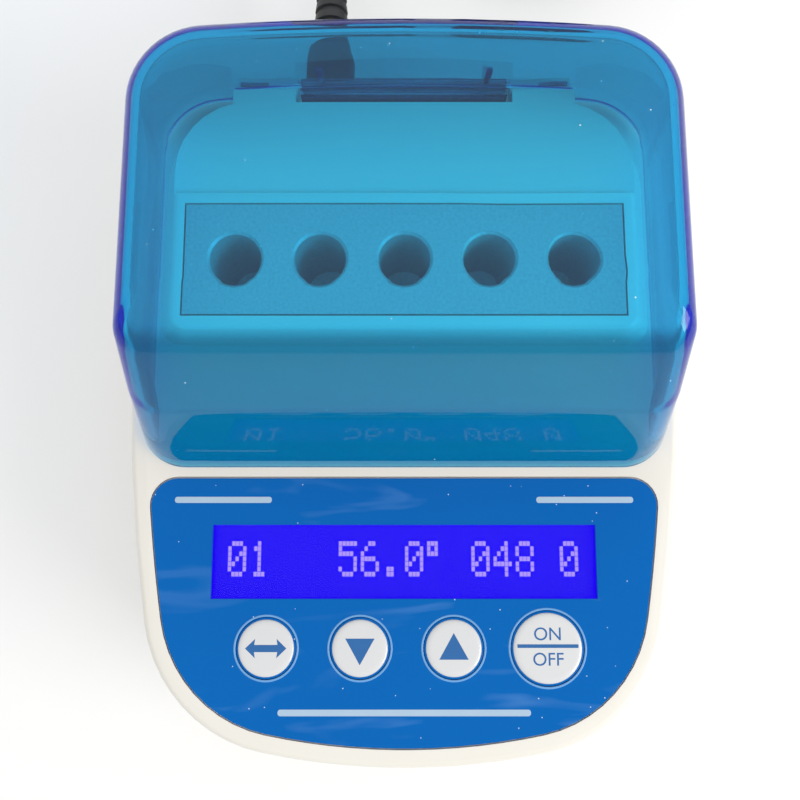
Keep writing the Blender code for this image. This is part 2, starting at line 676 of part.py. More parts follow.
def lid_ring(z):
    """The lid's outline at a height: straight in front, its corners tighter above, and bowed at the rear."""
    side, fold = lid_wall(z, LID_SIDE_LEAN)
    front, _ = lid_wall(z, LID_FRONT_LEAN)
    half = LID_HALF - side
    corner = max(LID_FRONT_CORNER - LID_CORNER_TAPER * (z - LID_RIM) - fold, LID_TOP_CORNER)
    near = (half - corner, LID_FRONT + front + corner)
    right = arc(near, corner, -pi / 2, 0, 6)
    right.append((half, near[1]))
    corner = LID_REAR_CORNER - fold
    bow = (0.0, LID_REAR - side - LID_REAR_BOW)
    far = (half - corner, bow[1] + sqrt((LID_REAR_BOW - corner) ** 2 - (half - corner) ** 2))
    turn = bearing(bow, far)
    right += arc(far, corner, 0, turn, 8)
    right += arc(bow, LID_REAR_BOW, turn, pi / 2, 4)
    return at_height(mirrored(right), z)


def lid():
    """The clear hinged lid: a drafted shell, its hinge barrel and the two stop tabs."""
    heights = [LID_RIM - LID_WALL]
    for angle in (7, 20, 37, 54, 71, 90):
        heights.append(LID_TOP - LID_FOLD * (1 - sin(radians(angle))))
    cover = loft("lid", [lid_ring(z) for z in heights], PARTS, BLUE_CLEAR, closed=False)
    shell = cover.modifiers.new("wall", "SOLIDIFY")
    shell.thickness = LID_WALL
    shell.offset = -1.0
    shell.use_even_offset = True

    below = LID_RIM - 2 * LID_WALL
    cut(cover, box("rim_trim", (-LID_HALF - WALL, LID_FRONT - WALL, below),
                   (LID_HALF + WALL, LID_REAR + WALL, LID_RIM), CUTTERS))
    cut(cover, box("lid_relief", (-LID_HALF - WALL, LID_RELIEF_Y, below),
                   (LID_HALF + WALL, LID_REAR + WALL, LID_RIM + LID_REAR_RELIEF), CUTTERS))
    inner = BARREL_LENGTH / 2 - GAP
    outer = BARREL_LENGTH / 2 + 2 * HINGE_END_GAP + LUG_LENGTH
    top = HINGE_Z + KNUCKLE_RADIUS + 2 * GAP
    for side in (-1, 1):
        low, high = sorted((side * inner, side * outer))
        notch = box(f"lug_notch_{side}", (low, HINGE_Y - 2 * LID_WALL, LID_RIM - WALL),
                    (high, HINGE_Y + 2 * LID_WALL, top), CUTTERS)
        cut(cover, notch)
    half = BARREL_LENGTH / 2
    rib = [
        (HINGE_Y - BARREL_RIB_REACH, HINGE_Z - KNUCKLE_RADIUS), (HINGE_Y, HINGE_Z - KNUCKLE_RADIUS),
        (HINGE_Y, HINGE_Z + PIN_RADIUS), (HINGE_Y - BARREL_RIB_REACH, HINGE_Z + PIN_RADIUS),
    ]
    join(cover, side_prism("barrel_rib", rib, -half, half, CUTTERS))
    join(cover, cylinder("barrel_form", KNUCKLE_RADIUS, (-half, HINGE_Y, HINGE_Z),
                         (half, HINGE_Y, HINGE_Z), CUTTERS))
    for side in (-1, 1):
        join(cover, stop_tab(side))
    cut(cover, cylinder("barrel_bore", PIN_RADIUS + GAP, (-half - WALL, HINGE_Y, HINGE_Z),
                        (half + WALL, HINGE_Y, HINGE_Z), CUTTERS))
    move_origin(cover, (0.0, HINGE_Y, HINGE_Z))


def stop_tab(side):
    """A rib behind the barrel that meets the housing's rear edge when the lid is open."""
    wall = LID_REAR - (HINGE_Z - LID_RIM) * tan(LID_SIDE_LEAN)
    lean = STOP_TAB_HEIGHT * tan(LID_SIDE_LEAN)
    outline = [
        (wall - LID_WALL / 2, HINGE_Z + PIN_RADIUS + 2 * GAP),
        (HINGE_Y + KNUCKLE_RADIUS - GAP, HINGE_Z + GAP),
        (HINGE_Y + STOP_TAB_REACH, HINGE_Z + STOP_TAB_REACH - GAP),
        (wall - lean, HINGE_Z + STOP_TAB_HEIGHT),
        (wall - lean - LID_WALL / 2, HINGE_Z + STOP_TAB_HEIGHT),
    ]
    low, high = (side * STOP_TAB_X - STOP_TAB_WIDTH / 2, side * STOP_TAB_X + STOP_TAB_WIDTH / 2)
    return side_prism(f"stop_tab_{side}", outline, low, high, CUTTERS)


def hinge_pin():
    """The steel pin through both lugs and the lid's barrel."""
    end = BARREL_LENGTH / 2 + HINGE_END_GAP + LUG_LENGTH - 2 * GAP
    pin = cylinder("hinge_pin", PIN_RADIUS, (-end, HINGE_Y, HINGE_Z), (end, HINGE_Y, HINGE_Z), PARTS, STEEL)
    shade(pin)


def heating_block():
    """The aluminium block: five drilled wells, a clamping shoulder and the probe's bore."""
    shoulder_top = PLATFORM_UNDER - GAP
    block = box("heating_block", (-SHOULDER_LENGTH / 2, BLOCK_Y - SHOULDER_WIDTH / 2, BLOCK_BOTTOM),
                (SHOULDER_LENGTH / 2, BLOCK_Y + SHOULDER_WIDTH / 2, shoulder_top), PARTS, ALUMINIUM,
                rounding=SHOULDER_ROUND)
    upper = box("block_top", (-BLOCK_LENGTH / 2, BLOCK_Y - BLOCK_WIDTH / 2, shoulder_top - WALL),
                (BLOCK_LENGTH / 2, BLOCK_Y + BLOCK_WIDTH / 2, PLATFORM_Z), CUTTERS)
    join(block, upper)
    profile = [
        (0.0, PLATFORM_Z + WALL),
        (WELL_RADIUS + WELL_CHAMFER + WALL, PLATFORM_Z + WALL),
        (WELL_RADIUS, PLATFORM_Z - WELL_CHAMFER),
        (WELL_RADIUS, PLATFORM_Z - WELL_DEPTH + WELL_TIP),
        (0.0, PLATFORM_Z - WELL_DEPTH),
    ]
    for i in range(WELL_COUNT):
        x = (i - (WELL_COUNT - 1) / 2) * WELL_PITCH
        cut(block, turned(f"well_{i + 1}", profile, (x, BLOCK_Y, 0.0), CUTTERS))
    start, end = probe_ends()
    cut(block, cylinder("probe_bore", PROBE_RADIUS + GAP, start - Vector((0, WALL, 0)), end, CUTTERS))


def probe_ends():
    """The probe bore's mouth and its blind end, between two wells."""
    face = BLOCK_Y - SHOULDER_WIDTH / 2
    z = BLOCK_BOTTOM + PROBE_HEIGHT
    return Vector((WELL_PITCH / 2, face, z)), Vector((WELL_PITCH / 2, face + PROBE_DEPTH, z))


def heater_stack():
    """What sits under the block: heater plate, foam pad, steel clamp, and the cut-off behind it."""
    half_x = SHOULDER_LENGTH / 2 - HEATER_INSET
    half_y = SHOULDER_WIDTH / 2 - HEATER_INSET
    box("heater_plate", (-half_x, BLOCK_Y - half_y, HEATER_TOP - HEATER_THICKNESS),
        (half_x, BLOCK_Y + half_y, HEATER_TOP), PARTS, HEATER)
    box("insulation_pad", (-SHOULDER_LENGTH / 2, BLOCK_Y - half_y, PAD_TOP - PAD_THICKNESS),
        (SHOULDER_LENGTH / 2, BLOCK_Y + half_y, PAD_TOP), PARTS, FOAM)
    end = CLAMP_SCREW_X + CLAMP_EDGE
    clamp = box("clamp_plate", (-end, BLOCK_Y - CLAMP_WIDTH / 2, CLAMP_BOTTOM),
                (end, BLOCK_Y + CLAMP_WIDTH / 2, CLAMP_TOP), PARTS, STEEL)
    head = SCREW_HEAD_RADIUS
    for side in (-1, 1):
        x = side * CLAMP_SCREW_X
        cut(clamp, cylinder(f"clamp_hole_{side}", SCREW_RADIUS + GAP, (x, BLOCK_Y, CLAMP_BOTTOM - WALL),
                            (x, BLOCK_Y, CLAMP_TOP + WALL), CUTTERS))
        profile = [
            (0.0, CLAMP_SCREW_LENGTH - GAP), (SCREW_RADIUS, CLAMP_SCREW_LENGTH - GAP - SCREW_RADIUS / 2),
            (SCREW_RADIUS, -GAP), (head, -GAP), (head, -GAP - SCREW_HEAD_HEIGHT),
            (0.0, -GAP - SCREW_HEAD_HEIGHT),
        ]
        name = "clamp_screw_left" if side < 0 else "clamp_screw_right"
        shade(turned(name, profile, (x, BLOCK_Y, CLAMP_BOTTOM), PARTS, STEEL, sides=12))
    size = CUTOFF_SIZE
    rear = BLOCK_Y + SHOULDER_WIDTH / 2 + GAP
    low = BLOCK_BOTTOM + CUTOFF_LIFT
    box("thermal_cutoff", (-size[0] / 2, rear, low), (size[0] / 2, rear + size[1], low + size[2]),
        PARTS, BLACK, rounding=CUTOFF_ROUND)
    start, end = probe_ends()
    inward = Vector((0, GAP, 0))
    shade(cylinder("temperature_probe", PROBE_RADIUS, start - 2 * inward, end - inward, PARTS, STEEL))


def panel():
    """The printed overlay with its window and key openings, and the clear lens behind it."""
    outline = housing_outline(OVERLAY_INSET, OVERLAY_REAR, OVERLAY_CORNER)
    overlay = prism("panel_overlay", outline, OVERLAY_BOTTOM, OVERLAY_TOP, PARTS, BLUE_PRINT)
    half_x, half_y = WINDOW_SIZE[0] / 2, WINDOW_SIZE[1] / 2
    cut(overlay, box("overlay_window", (-half_x, WINDOW_Y - half_y, OVERLAY_BOTTOM - WALL),
                     (half_x, WINDOW_Y + half_y, OVERLAY_TOP + WALL), CUTTERS))
    for name, x, radius in KEYS:
        cut(overlay, cylinder(name + "_print", radius + SLIDE_GAP, (x, KEY_Y, OVERLAY_BOTTOM - WALL),
                              (x, KEY_Y, OVERLAY_TOP + WALL), CUTTERS, sides=28))
    half_x += LENS_LEDGE
    half_y += LENS_LEDGE
    box("display_lens", (-half_x, WINDOW_Y - half_y, LENS_BOTTOM), (half_x, WINDOW_Y + half_y, LENS_TOP),
        PARTS, CLEAR)


def keys():
    """Four round keys, each with a flange under the deck and a switch below it."""
    top = OVERLAY_TOP + KEY_PROUD
    for name, x, radius in KEYS:
        flange = radius + SLIDE_GAP + KEY_FLANGE
        profile = [
            (0.0, top), (radius - KEY_EDGE, top), (radius, top - KEY_EDGE), (radius, KEY_FLANGE_TOP),
            (flange, KEY_FLANGE_TOP), (flange, KEY_BOTTOM), (0.0, KEY_BOTTOM),
        ]
        profile = [(r, z - OVERLAY_TOP) for r, z in profile]
        shade(turned(name, profile, (x, KEY_Y, OVERLAY_TOP), PARTS, WHITE_PRINT, sides=28))
        half = SWITCH_WIDTH / 2
        body_low = CONTROL_BOARD_TOP + GAP
        body_top = body_low + SWITCH_BODY
        switch = box(name.replace("key", "switch"), (x - half, KEY_Y - half, body_low),
                     (x + half, KEY_Y + half, body_top), PARTS, BLACK)
        tip = KEY_BOTTOM - KEY_TRAVEL - GAP
        join(switch, cylinder(name + "_plunger", SWITCH_PLUNGER, (x, KEY_Y, body_top - GAP),
                              (x, KEY_Y, tip), CUTTERS))


def display():
    """The liquid-crystal glass, its backlight and the board that carries them and the switches."""
    half_x, half_y = GLASS_SIZE[0] / 2, GLASS_SIZE[1] / 2
    box("display_glass", (-half_x, WINDOW_Y - half_y, GLASS_BOTTOM), (half_x, WINDOW_Y + half_y, GLASS_TOP),
        PARTS, DISPLAY_BLUE)
    box("display_backlight", (-half_x, WINDOW_Y - half_y, BACKLIGHT_BOTTOM),
        (half_x, WINDOW_Y + half_y, BACKLIGHT_TOP), PARTS, WHITE_PRINT)
    box("control_board", (-CONTROL_BOARD_HALF, CONTROL_BOARD_FRONT, CONTROL_BOARD_TOP - BOARD_THICKNESS),
        (CONTROL_BOARD_HALF, CONTROL_BOARD_REAR, CONTROL_BOARD_TOP), PARTS, BOARD_GREEN)


def electronics():
    """The main board on its posts, its two tall components and the ribbon to the control board."""
    top = MAIN_BOARD_Z + BOARD_THICKNESS
    box("main_board", (-MAIN_BOARD_HALF, MAIN_BOARD_FRONT, MAIN_BOARD_Z),
        (MAIN_BOARD_HALF, MAIN_BOARD_REAR, top), PARTS, BOARD_GREEN)
    seat = top + GAP
    x, y = MAIN_BOARD_HALF / 2, MAIN_BOARD_FRONT + MAIN_BOARD_HALF / 2
    shade(cylinder("supply_capacitor", CAPACITOR_RADIUS, (x, y, seat), (x, y, seat + CAPACITOR_HEIGHT),
                   PARTS, BLACK))
    wide, deep, tall = TRANSISTOR_SIZE
    box("heater_transistor", (-x - wide / 2, y - deep / 2, seat), (-x + wide / 2, y + deep / 2, seat + tall),
        PARTS, BLACK)
    low, high = seat, CONTROL_BOARD_TOP - BOARD_THICKNESS - GAP
    side = []
    for offset, order in ((0.0, range(9)), (RIBBON_THICKNESS, range(8, -1, -1))):
        side += [(RIBBON_Y + offset + RIBBON_BULGE * sin(pi * i / 8), low + (high - low) * i / 8)
                 for i in order]
    side_prism("board_ribbon", side, -RIBBON_WIDTH / 2, RIBBON_WIDTH / 2, PARTS, GREY)


def leads():
    """The inner leads, each from its part to the main board's rear edge."""
    board = MAIN_BOARD_REAR + GAP
    bend = MAIN_BOARD_REAR + LEAD_REACH
    mid = MAIN_BOARD_Z + BOARD_THICKNESS / 2
    front = BLOCK_Y - SHOULDER_WIDTH / 2 + HEATER_INSET
    z = HEATER_TOP - HEATER_THICKNESS / 2
    x = HEATER_LEAD_X
    cord("heater_lead", [
        (x, front - GAP, z), (x, front - LEAD_REACH, z - LEAD_DROP),
        (x + LEAD_DROP, bend + LEAD_REACH, mid + 2 * LEAD_DROP),
        (x + 2 * LEAD_DROP, bend, mid), (x + 2 * LEAD_DROP, board, mid),
    ], HEATER_LEAD_RADIUS, PARTS, RED)
    start, _ = probe_ends()
    x = MAIN_BOARD_HALF / 2
    cord("probe_lead", [
        (start.x, start.y - 3 * GAP, start.z), (start.x, start.y - LEAD_REACH, start.z - LEAD_DROP),
        ((start.x + x) / 2, bend + LEAD_REACH, mid + LEAD_REACH), (x, bend, mid), (x, board, mid),
    ], PROBE_LEAD_RADIUS, PARTS, GREY)
    rear = jack_face() - JACK_SIZE[1] - 2 * GAP
    z = JACK_Z - JACK_BORE
    low = FLOOR_Z + 2 * LEAD_DROP
    cord("supply_lead", [
        (JACK_X, rear, z), (JACK_X, rear - LEAD_REACH, z),
        (JACK_X - LEAD_DROP, BLOCK_Y + 3 * LEAD_REACH, low + LEAD_DROP),
        (JACK_X - 2 * LEAD_DROP, BLOCK_Y - LEAD_REACH, low), (JACK_X, bend + LEAD_REACH, low),
        (JACK_X, bend, mid), (JACK_X, board, mid),
    ], SUPPLY_LEAD_RADIUS, PARTS, BLACK)


def screw_tip():
    """The height that the cover screws reach."""
    return BASE_Z + SCREW_SINK + SCREW_HEAD_HEIGHT + SCREW_LENGTH


def fasteners_and_feet():
    """The four cover screws, driven from below, and the four rubber feet."""
    names = ("front_left", "front_right", "rear_left", "rear_right")
    head = SCREW_HEAD_HEIGHT
    for name, (x, y) in zip(names, COVER_SCREWS):
        profile = [
            (0.0, head + SCREW_LENGTH), (SCREW_RADIUS, head + SCREW_LENGTH - SCREW_RADIUS),
            (SCREW_RADIUS, head),
            (SCREW_HEAD_RADIUS, head * 0.7), (SCREW_HEAD_RADIUS, 0.0), (0.0, 0.0),
        ]
        shade(turned(f"cover_screw_{name}", profile, (x, y, BASE_Z + SCREW_SINK), PARTS, STEEL, sides=12))
    for name, (x, y) in zip(names, FEET):
        edge = FOOT_RADIUS - BASE_Z / 4
        profile = [(0.0, FOOT_HEIGHT), (FOOT_RADIUS, FOOT_HEIGHT), (FOOT_RADIUS, BASE_Z / 4),
                   (edge, 0.0), (0.0, 0.0)]
        shade(turned(f"rubber_foot_{name}", profile, (x, y, 0.0), PARTS, RUBBER, sides=20))


def supply_socket():
    """The supply socket in the rear wall: a moulded body with a bore and a centre pin."""
    face = jack_face()
    half_x, half_z = JACK_SIZE[0] / 2, JACK_SIZE[2] / 2
    jack = box("dc_socket", (JACK_X - half_x, face - JACK_SIZE[1], JACK_Z - half_z),
               (JACK_X + half_x, face, JACK_Z + half_z), PARTS, BLACK)
    cut(jack, cylinder("socket_bore", JACK_BORE, (JACK_X, face - JACK_DEPTH, JACK_Z),
                       (JACK_X, face + WALL, JACK_Z), CUTTERS))
    join(jack, cylinder("socket_pin", JACK_PIN, (JACK_X, face - JACK_DEPTH - GAP, JACK_Z),
                        (JACK_X, face - 2 * GAP, JACK_Z), CUTTERS))


def plug_and_cord():
    """The supply plug, its ribbed strain relief, the cord with its coil, and the mains adapter."""
    face = REAR_Y - wall_inset(JACK_Z) + GAP
    length = PLUG_BODY_LENGTH + PLUG_TAPER_LENGTH
    body = [
        (0.0, length), (PLUG_NECK, length), (PLUG_RADIUS, PLUG_BODY_LENGTH),
        (PLUG_RADIUS, PLUG_EDGE), (PLUG_RADIUS - PLUG_EDGE, 0.0), (PLUG_BARREL, 0.0),
        (PLUG_BARREL, -PLUG_BARREL_LENGTH), (PLUG_BORE, -PLUG_BARREL_LENGTH), (PLUG_BORE, -GAP),
        (0.0, -GAP),
    ]
    shade(turned("dc_plug", body, (JACK_X, face, JACK_Z), PARTS, BLACK, along_y=True))

    start = face + length + GAP
    profile = [(0.0, RELIEF_LENGTH), (RELIEF_TIP, RELIEF_LENGTH)]
    step = RELIEF_LENGTH / (RELIEF_RIBS + 1)
    for i in range(RELIEF_RIBS, 0, -1):
        radius = RELIEF_ROOT + (RELIEF_TIP - RELIEF_ROOT) * i / (RELIEF_RIBS + 1)
        middle = i * step
        profile += [
            (radius, middle + step * 0.22), (radius - RELIEF_GROOVE, middle + step * 0.16),
            (radius - RELIEF_GROOVE, middle - step * 0.16), (radius, middle - step * 0.22),
        ]
    profile += [(RELIEF_ROOT, 0.0), (0.0, 0.0)]
    shade(turned("plug_strain_relief", profile, (JACK_X, start, JACK_Z), PARTS, BLACK,
                 along_y=True, sides=16))

    cord("supply_cord", CORD_ROUTE, CORD_RADIUS, PARTS, BLACK)
    pitch = 2 * CORD_RADIUS
    half = COIL_COLUMNS * pitch / 2
    top = COIL_FLOOR + COIL_LAYERS * pitch
    inner, outer = COIL_MEAN_RADIUS - half, COIL_MEAN_RADIUS + half
    ring = [
        (inner + CORD_RADIUS, top), (outer - CORD_RADIUS, top), (outer, top - CORD_RADIUS),
        (outer, COIL_FLOOR + CORD_RADIUS), (outer - CORD_RADIUS, COIL_FLOOR),
        (inner + CORD_RADIUS, COIL_FLOOR), (inner, COIL_FLOOR + CORD_RADIUS), (inner, top - CORD_RADIUS),
        (inner + CORD_RADIUS, top),
    ]
    shade(turned("cord_coil", ring, (*COIL_CENTRE, 0.0), PARTS, BLACK))
    cord("adapter_cord", LEAD_ROUTE, CORD_RADIUS, PARTS, BLACK)

    x, y = ADAPTER_CENTRE
    wide, deep, tall = ADAPTER_SIZE
    body = box("mains_adapter", (x - wide / 2, y - deep / 2, 0.0), (x + wide / 2, y + deep / 2, tall),
               PARTS, BLACK, rounding=ADAPTER_ROUND)
    root = y + deep / 2
    lead_z = LEAD_ROUTE[-1][2]
    profile = [
        (0.0, ADAPTER_RELIEF_LENGTH), (RELIEF_TIP, ADAPTER_RELIEF_LENGTH), (RELIEF_ROOT, -ADAPTER_ROUND),
        (0.0, -ADAPTER_ROUND),
    ]
    join(body, turned("adapter_relief", profile, (x, root, lead_z), CUTTERS, along_y=True, sides=20))
    for name, side in (("left", -1), ("right", 1)):
        middle_x = x + side * BLADE_SPACING / 2
        middle_y = y - deep / 2 + BLADE_Y_INSET
        box(f"adapter_blade_{name}",
            (middle_x - BLADE_SIZE[0] / 2, middle_y - BLADE_SIZE[1] / 2, tall + GAP),
            (middle_x + BLADE_SIZE[0] / 2, middle_y + BLADE_SIZE[1] / 2, tall + GAP + BLADE_SIZE[2]),
            PARTS, BRASS)


for old in list(bpy.data.objects):
    bpy.data.objects.remove(old, do_unlink=True)

PARTS = collection("indicator_incubator")
CUTTERS = collection("cutters")
IVORY = material("ivory_plastic", (0.86, 0.84, 0.77), 0.42)
BLUE_CLEAR = material("blue_clear_plastic", (0.02, 0.32, 0.75), 0.05, alpha=0.45)
BLUE_PRINT = material("blue_overlay", (0.02, 0.15, 0.50), 0.30)
WHITE_PRINT = material("white_print", (0.88, 0.88, 0.88), 0.35)
CLEAR = material("clear_acrylic", (0.90, 0.92, 0.95), 0.05, alpha=0.3)
DISPLAY_BLUE = material("display_blue", (0.05, 0.02, 0.95), 0.20)
ALUMINIUM = material("blasted_aluminium", (0.72, 0.73, 0.74), 0.50, metallic=1.0)
STEEL = material("plated_steel", (0.65, 0.65, 0.66), 0.30, metallic=1.0)
BRASS = material("nickel_brass", (0.75, 0.70, 0.55), 0.30, metallic=1.0)
HEATER = material("heater_film", (0.65, 0.28, 0.06), 0.50)
FOAM = material("silicone_foam", (0.80, 0.42, 0.30), 0.90)
BOARD_GREEN = material("circuit_board", (0.03, 0.22, 0.08), 0.45)
BLACK = material("black_plastic", (0.02, 0.02, 0.02), 0.50)
GREY = material("grey_sleeve", (0.45, 0.45, 0.46), 0.60)
RED = material("red_sleeve", (0.55, 0.03, 0.03), 0.60)
RUBBER = material("black_rubber", (0.03, 0.03, 0.03), 0.85)

top_cover()
bottom_cover()
lid()
hinge_pin()
heating_block()
heater_stack()
panel()
keys()
display()
electronics()
leads()
fasteners_and_feet()
supply_socket()
plug_and_cord()
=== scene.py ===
"""Looks of the five-well indicator incubator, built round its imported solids."""
from math import acos, atan2, cos, pi, radians, sin, sqrt, tan

import bmesh
import bpy
from mathutils import Matrix, Vector


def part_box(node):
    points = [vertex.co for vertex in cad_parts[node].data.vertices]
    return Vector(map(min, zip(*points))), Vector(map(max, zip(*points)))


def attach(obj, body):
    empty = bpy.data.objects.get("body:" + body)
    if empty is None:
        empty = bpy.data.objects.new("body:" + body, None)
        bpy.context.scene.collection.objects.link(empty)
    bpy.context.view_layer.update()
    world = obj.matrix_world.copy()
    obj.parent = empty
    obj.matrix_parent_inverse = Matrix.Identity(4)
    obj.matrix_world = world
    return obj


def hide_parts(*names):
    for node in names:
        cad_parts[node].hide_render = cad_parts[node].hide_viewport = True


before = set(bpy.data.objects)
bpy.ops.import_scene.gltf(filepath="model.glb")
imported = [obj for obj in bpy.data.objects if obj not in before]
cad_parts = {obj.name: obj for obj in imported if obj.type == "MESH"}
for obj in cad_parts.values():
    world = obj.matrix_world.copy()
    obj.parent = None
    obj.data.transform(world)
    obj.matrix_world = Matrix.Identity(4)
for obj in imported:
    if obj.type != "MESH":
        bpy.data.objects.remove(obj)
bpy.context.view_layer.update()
mm = 0.001


# Bench, studio light and camera.
# A plain white bench top under a soft window light from the right and the
# front, and a camera held close above the panel, tipped slightly towards the rear.
camera_place = (-0.7 * mm, -20.95 * mm, 177.07 * mm)
camera_tip = radians(8.867)
camera_data = bpy.data.cameras.new("camera")
camera_data.lens = 36.0
camera_data.sensor_width = 36.0
camera_data.clip_start = 0.01
camera = bpy.data.objects.new("camera", camera_data)
camera.location = camera_place
camera.rotation_euler = (camera_tip, 0.0, 0.0)
bpy.context.scene.collection.objects.link(camera)
bpy.context.scene.camera = camera
bpy.context.scene.view_settings.view_transform = "Standard"
bpy.context.scene.cycles.max_bounces = 24
bpy.context.scene.cycles.transmission_bounces = 24
bpy.context.scene.cycles.glossy_bounces = 24


def link(tree, source, output, target, socket):
    """Joins one shader node's output to another's socket."""
    tree.links.new(source.outputs[output], target.inputs[socket])


bench_white = bpy.data.materials.new("bench_white")
bench_white.use_nodes = True
bench_tree = bench_white.node_tree
bench_shader = bench_tree.nodes["Principled BSDF"]
bench_shader.inputs["Roughness"].default_value = 0.7
bench_place = bench_tree.nodes.new("ShaderNodeTexCoord")
bench_cloud = bench_tree.nodes.new("ShaderNodeTexNoise")
bench_cloud.inputs["Scale"].default_value = 40.0
bench_tones = bench_tree.nodes.new("ShaderNodeMix")
bench_tones.data_type = "RGBA"
bench_tones.inputs["A"].default_value = (0.94, 0.935, 0.925, 1.0)
bench_tones.inputs["B"].default_value = (0.92, 0.915, 0.905, 1.0)
link(bench_tree, bench_place, "Object", bench_cloud, "Vector")
link(bench_tree, bench_cloud, 0, bench_tones, "Factor")
bench_tree.links.new(bench_tones.outputs["Result"], bench_shader.inputs["Base Color"])
bench_bm = bmesh.new()
bmesh.ops.create_grid(bench_bm, x_segments=1, y_segments=1, size=3.0)
bench_mesh = bpy.data.meshes.new("bench")
bench_bm.to_mesh(bench_mesh)
bench_bm.free()
bench_mesh.materials.append(bench_white)
bench = bpy.data.objects.new("bench", bench_mesh)
bpy.context.scene.collection.objects.link(bench)

studio = bpy.data.worlds.new("studio")
studio.use_nodes = True
bpy.context.scene.world = studio
studio_tree = studio.node_tree
studio_air = studio_tree.nodes["Background"]
studio_place = studio_tree.nodes.new("ShaderNodeTexCoord")
studio_axes = studio_tree.nodes.new("ShaderNodeSeparateXYZ")
studio_level = studio_tree.nodes.new("ShaderNodeMapRange")
studio_level.inputs["From Min"].default_value = 0.0
studio_level.inputs["From Max"].default_value = 0.9
studio_level.inputs["To Min"].default_value = 0.50
studio_level.inputs["To Max"].default_value = 1.06
studio_air.inputs["Color"].default_value = (0.98, 0.99, 1.0, 1.0)
link(studio_tree, studio_place, "Generated", studio_axes, "Vector")
link(studio_tree, studio_axes, "Z", studio_level, "Value")
link(studio_tree, studio_level, 0, studio_air, "Strength")

window = bpy.data.lights.new("window", "AREA")
window.shape = "RECTANGLE"
window.size = 0.50
window.size_y = 0.36
window.energy = 3.4
window.color = (1.0, 0.985, 0.95)
window_place = Vector((0.66, -0.30, 0.46))
window_frame = bpy.data.objects.new("window", window)
window_frame.location = window_place
window_aim = Vector((0.0, 0.0, 30.0 * mm)) - window_place
window_frame.rotation_euler = window_aim.to_track_quat("-Z", "Y").to_euler()
bpy.context.scene.collection.objects.link(window_frame)


# Supply lead: a limp round cord on a moulded plug, wound into a coil.
# Black soft vinyl over twin wires, with the ribbed strain relief moulded on and
# the small mains adapter at the far end.
cord_radius = 1.8 * mm
cord_start = (-15.4 * mm, 101.3 * mm, 20.0 * mm)
cord_route = [
    (-15.4 * mm, 101.8 * mm, 20.0 * mm),
    (-15.3 * mm, 107.0 * mm, 19.4 * mm),
    (-14.4 * mm, 113.0 * mm, 16.6 * mm),
    (-12.4 * mm, 119.0 * mm, 11.6 * mm),
    (-9.4 * mm, 125.0 * mm, 6.4 * mm),
    (-5.8 * mm, 131.5 * mm, 3.1 * mm),
    (-2.2 * mm, 138.5 * mm, 2.1 * mm),
    (0.6 * mm, 146.0 * mm, 2.0 * mm),
    (2.0 * mm, 152.0 * mm, 2.0 * mm),
]
lead_route = [
    (2.0 * mm, 180.0 * mm, 9.2 * mm),
    (2.4 * mm, 186.0 * mm, 9.2 * mm),
    (4.6 * mm, 192.5 * mm, 9.6 * mm),
    (9.6 * mm, 198.0 * mm, 10.6 * mm),
    (16.6 * mm, 200.6 * mm, 12.0 * mm),
    (23.6 * mm, 199.2 * mm, 13.2 * mm),
    (28.8 * mm, 194.6 * mm, 13.9 * mm),
    (31.0 * mm, 188.6 * mm, 14.0 * mm),
    (31.2 * mm, 182.1 * mm, 14.0 * mm),
]
coil_middle = (-21.6 * mm, 166.0 * mm)
coil_mean = 20.0 * mm
coil_floor = 0.2 * mm


def smooth(route, steps):
    """Points on a smooth curve through a route, a few for each stretch."""
    route = [Vector(point) for point in route]
    ends = [2 * route[0] - route[1]] + route + [2 * route[-1] - route[-2]]
    found = []
    for before, start, end, after in zip(ends, ends[1:], ends[2:], ends[3:]):
        for step in range(steps):
            t = step / steps
            found.append(
                ((2 * start) + (end - before) * t
                 + (2 * before - 5 * start + 4 * end - after) * t ** 2
                 + (3 * start - before - 3 * end + after) * t ** 3) / 2
            )
    return found + [route[-1]]


def coil_turns():
    """Eight turns, three wide and three high, each stepping over once the next place is free."""
    places = [(1, 0), (0, 0), (-1, 0), (-1, 1), (-1, 2), (0, 2), (0, 1), (1, 1), (1, 2)]
    per_turn = 36
    turns = len(places) - 1
    first_step, step_width = radians(20), radians(40)
    found = []
    for i in range(turns * per_turn + 1):
        turn, part = divmod(i, per_turn)
        angle = 2 * pi * part / per_turn
        here = places[turn]
        after = places[min(turn + 1, turns)]
        begin = first_step + (turns - 1 - turn) * step_width
        share = min(max((angle - begin) / step_width, 0.0), 1.0)
        share = share * share * (3 - 2 * share)
        column = here[0] + (after[0] - here[0]) * share
        layer = here[1] + (after[1] - here[1]) * share
        radius = coil_mean + column * 2 * cord_radius
        found.append(Vector((
            coil_middle[0] + radius * cos(angle),
            coil_middle[1] + radius * sin(angle),
            coil_floor + cord_radius + layer * 2 * cord_radius,
        )))
    return found


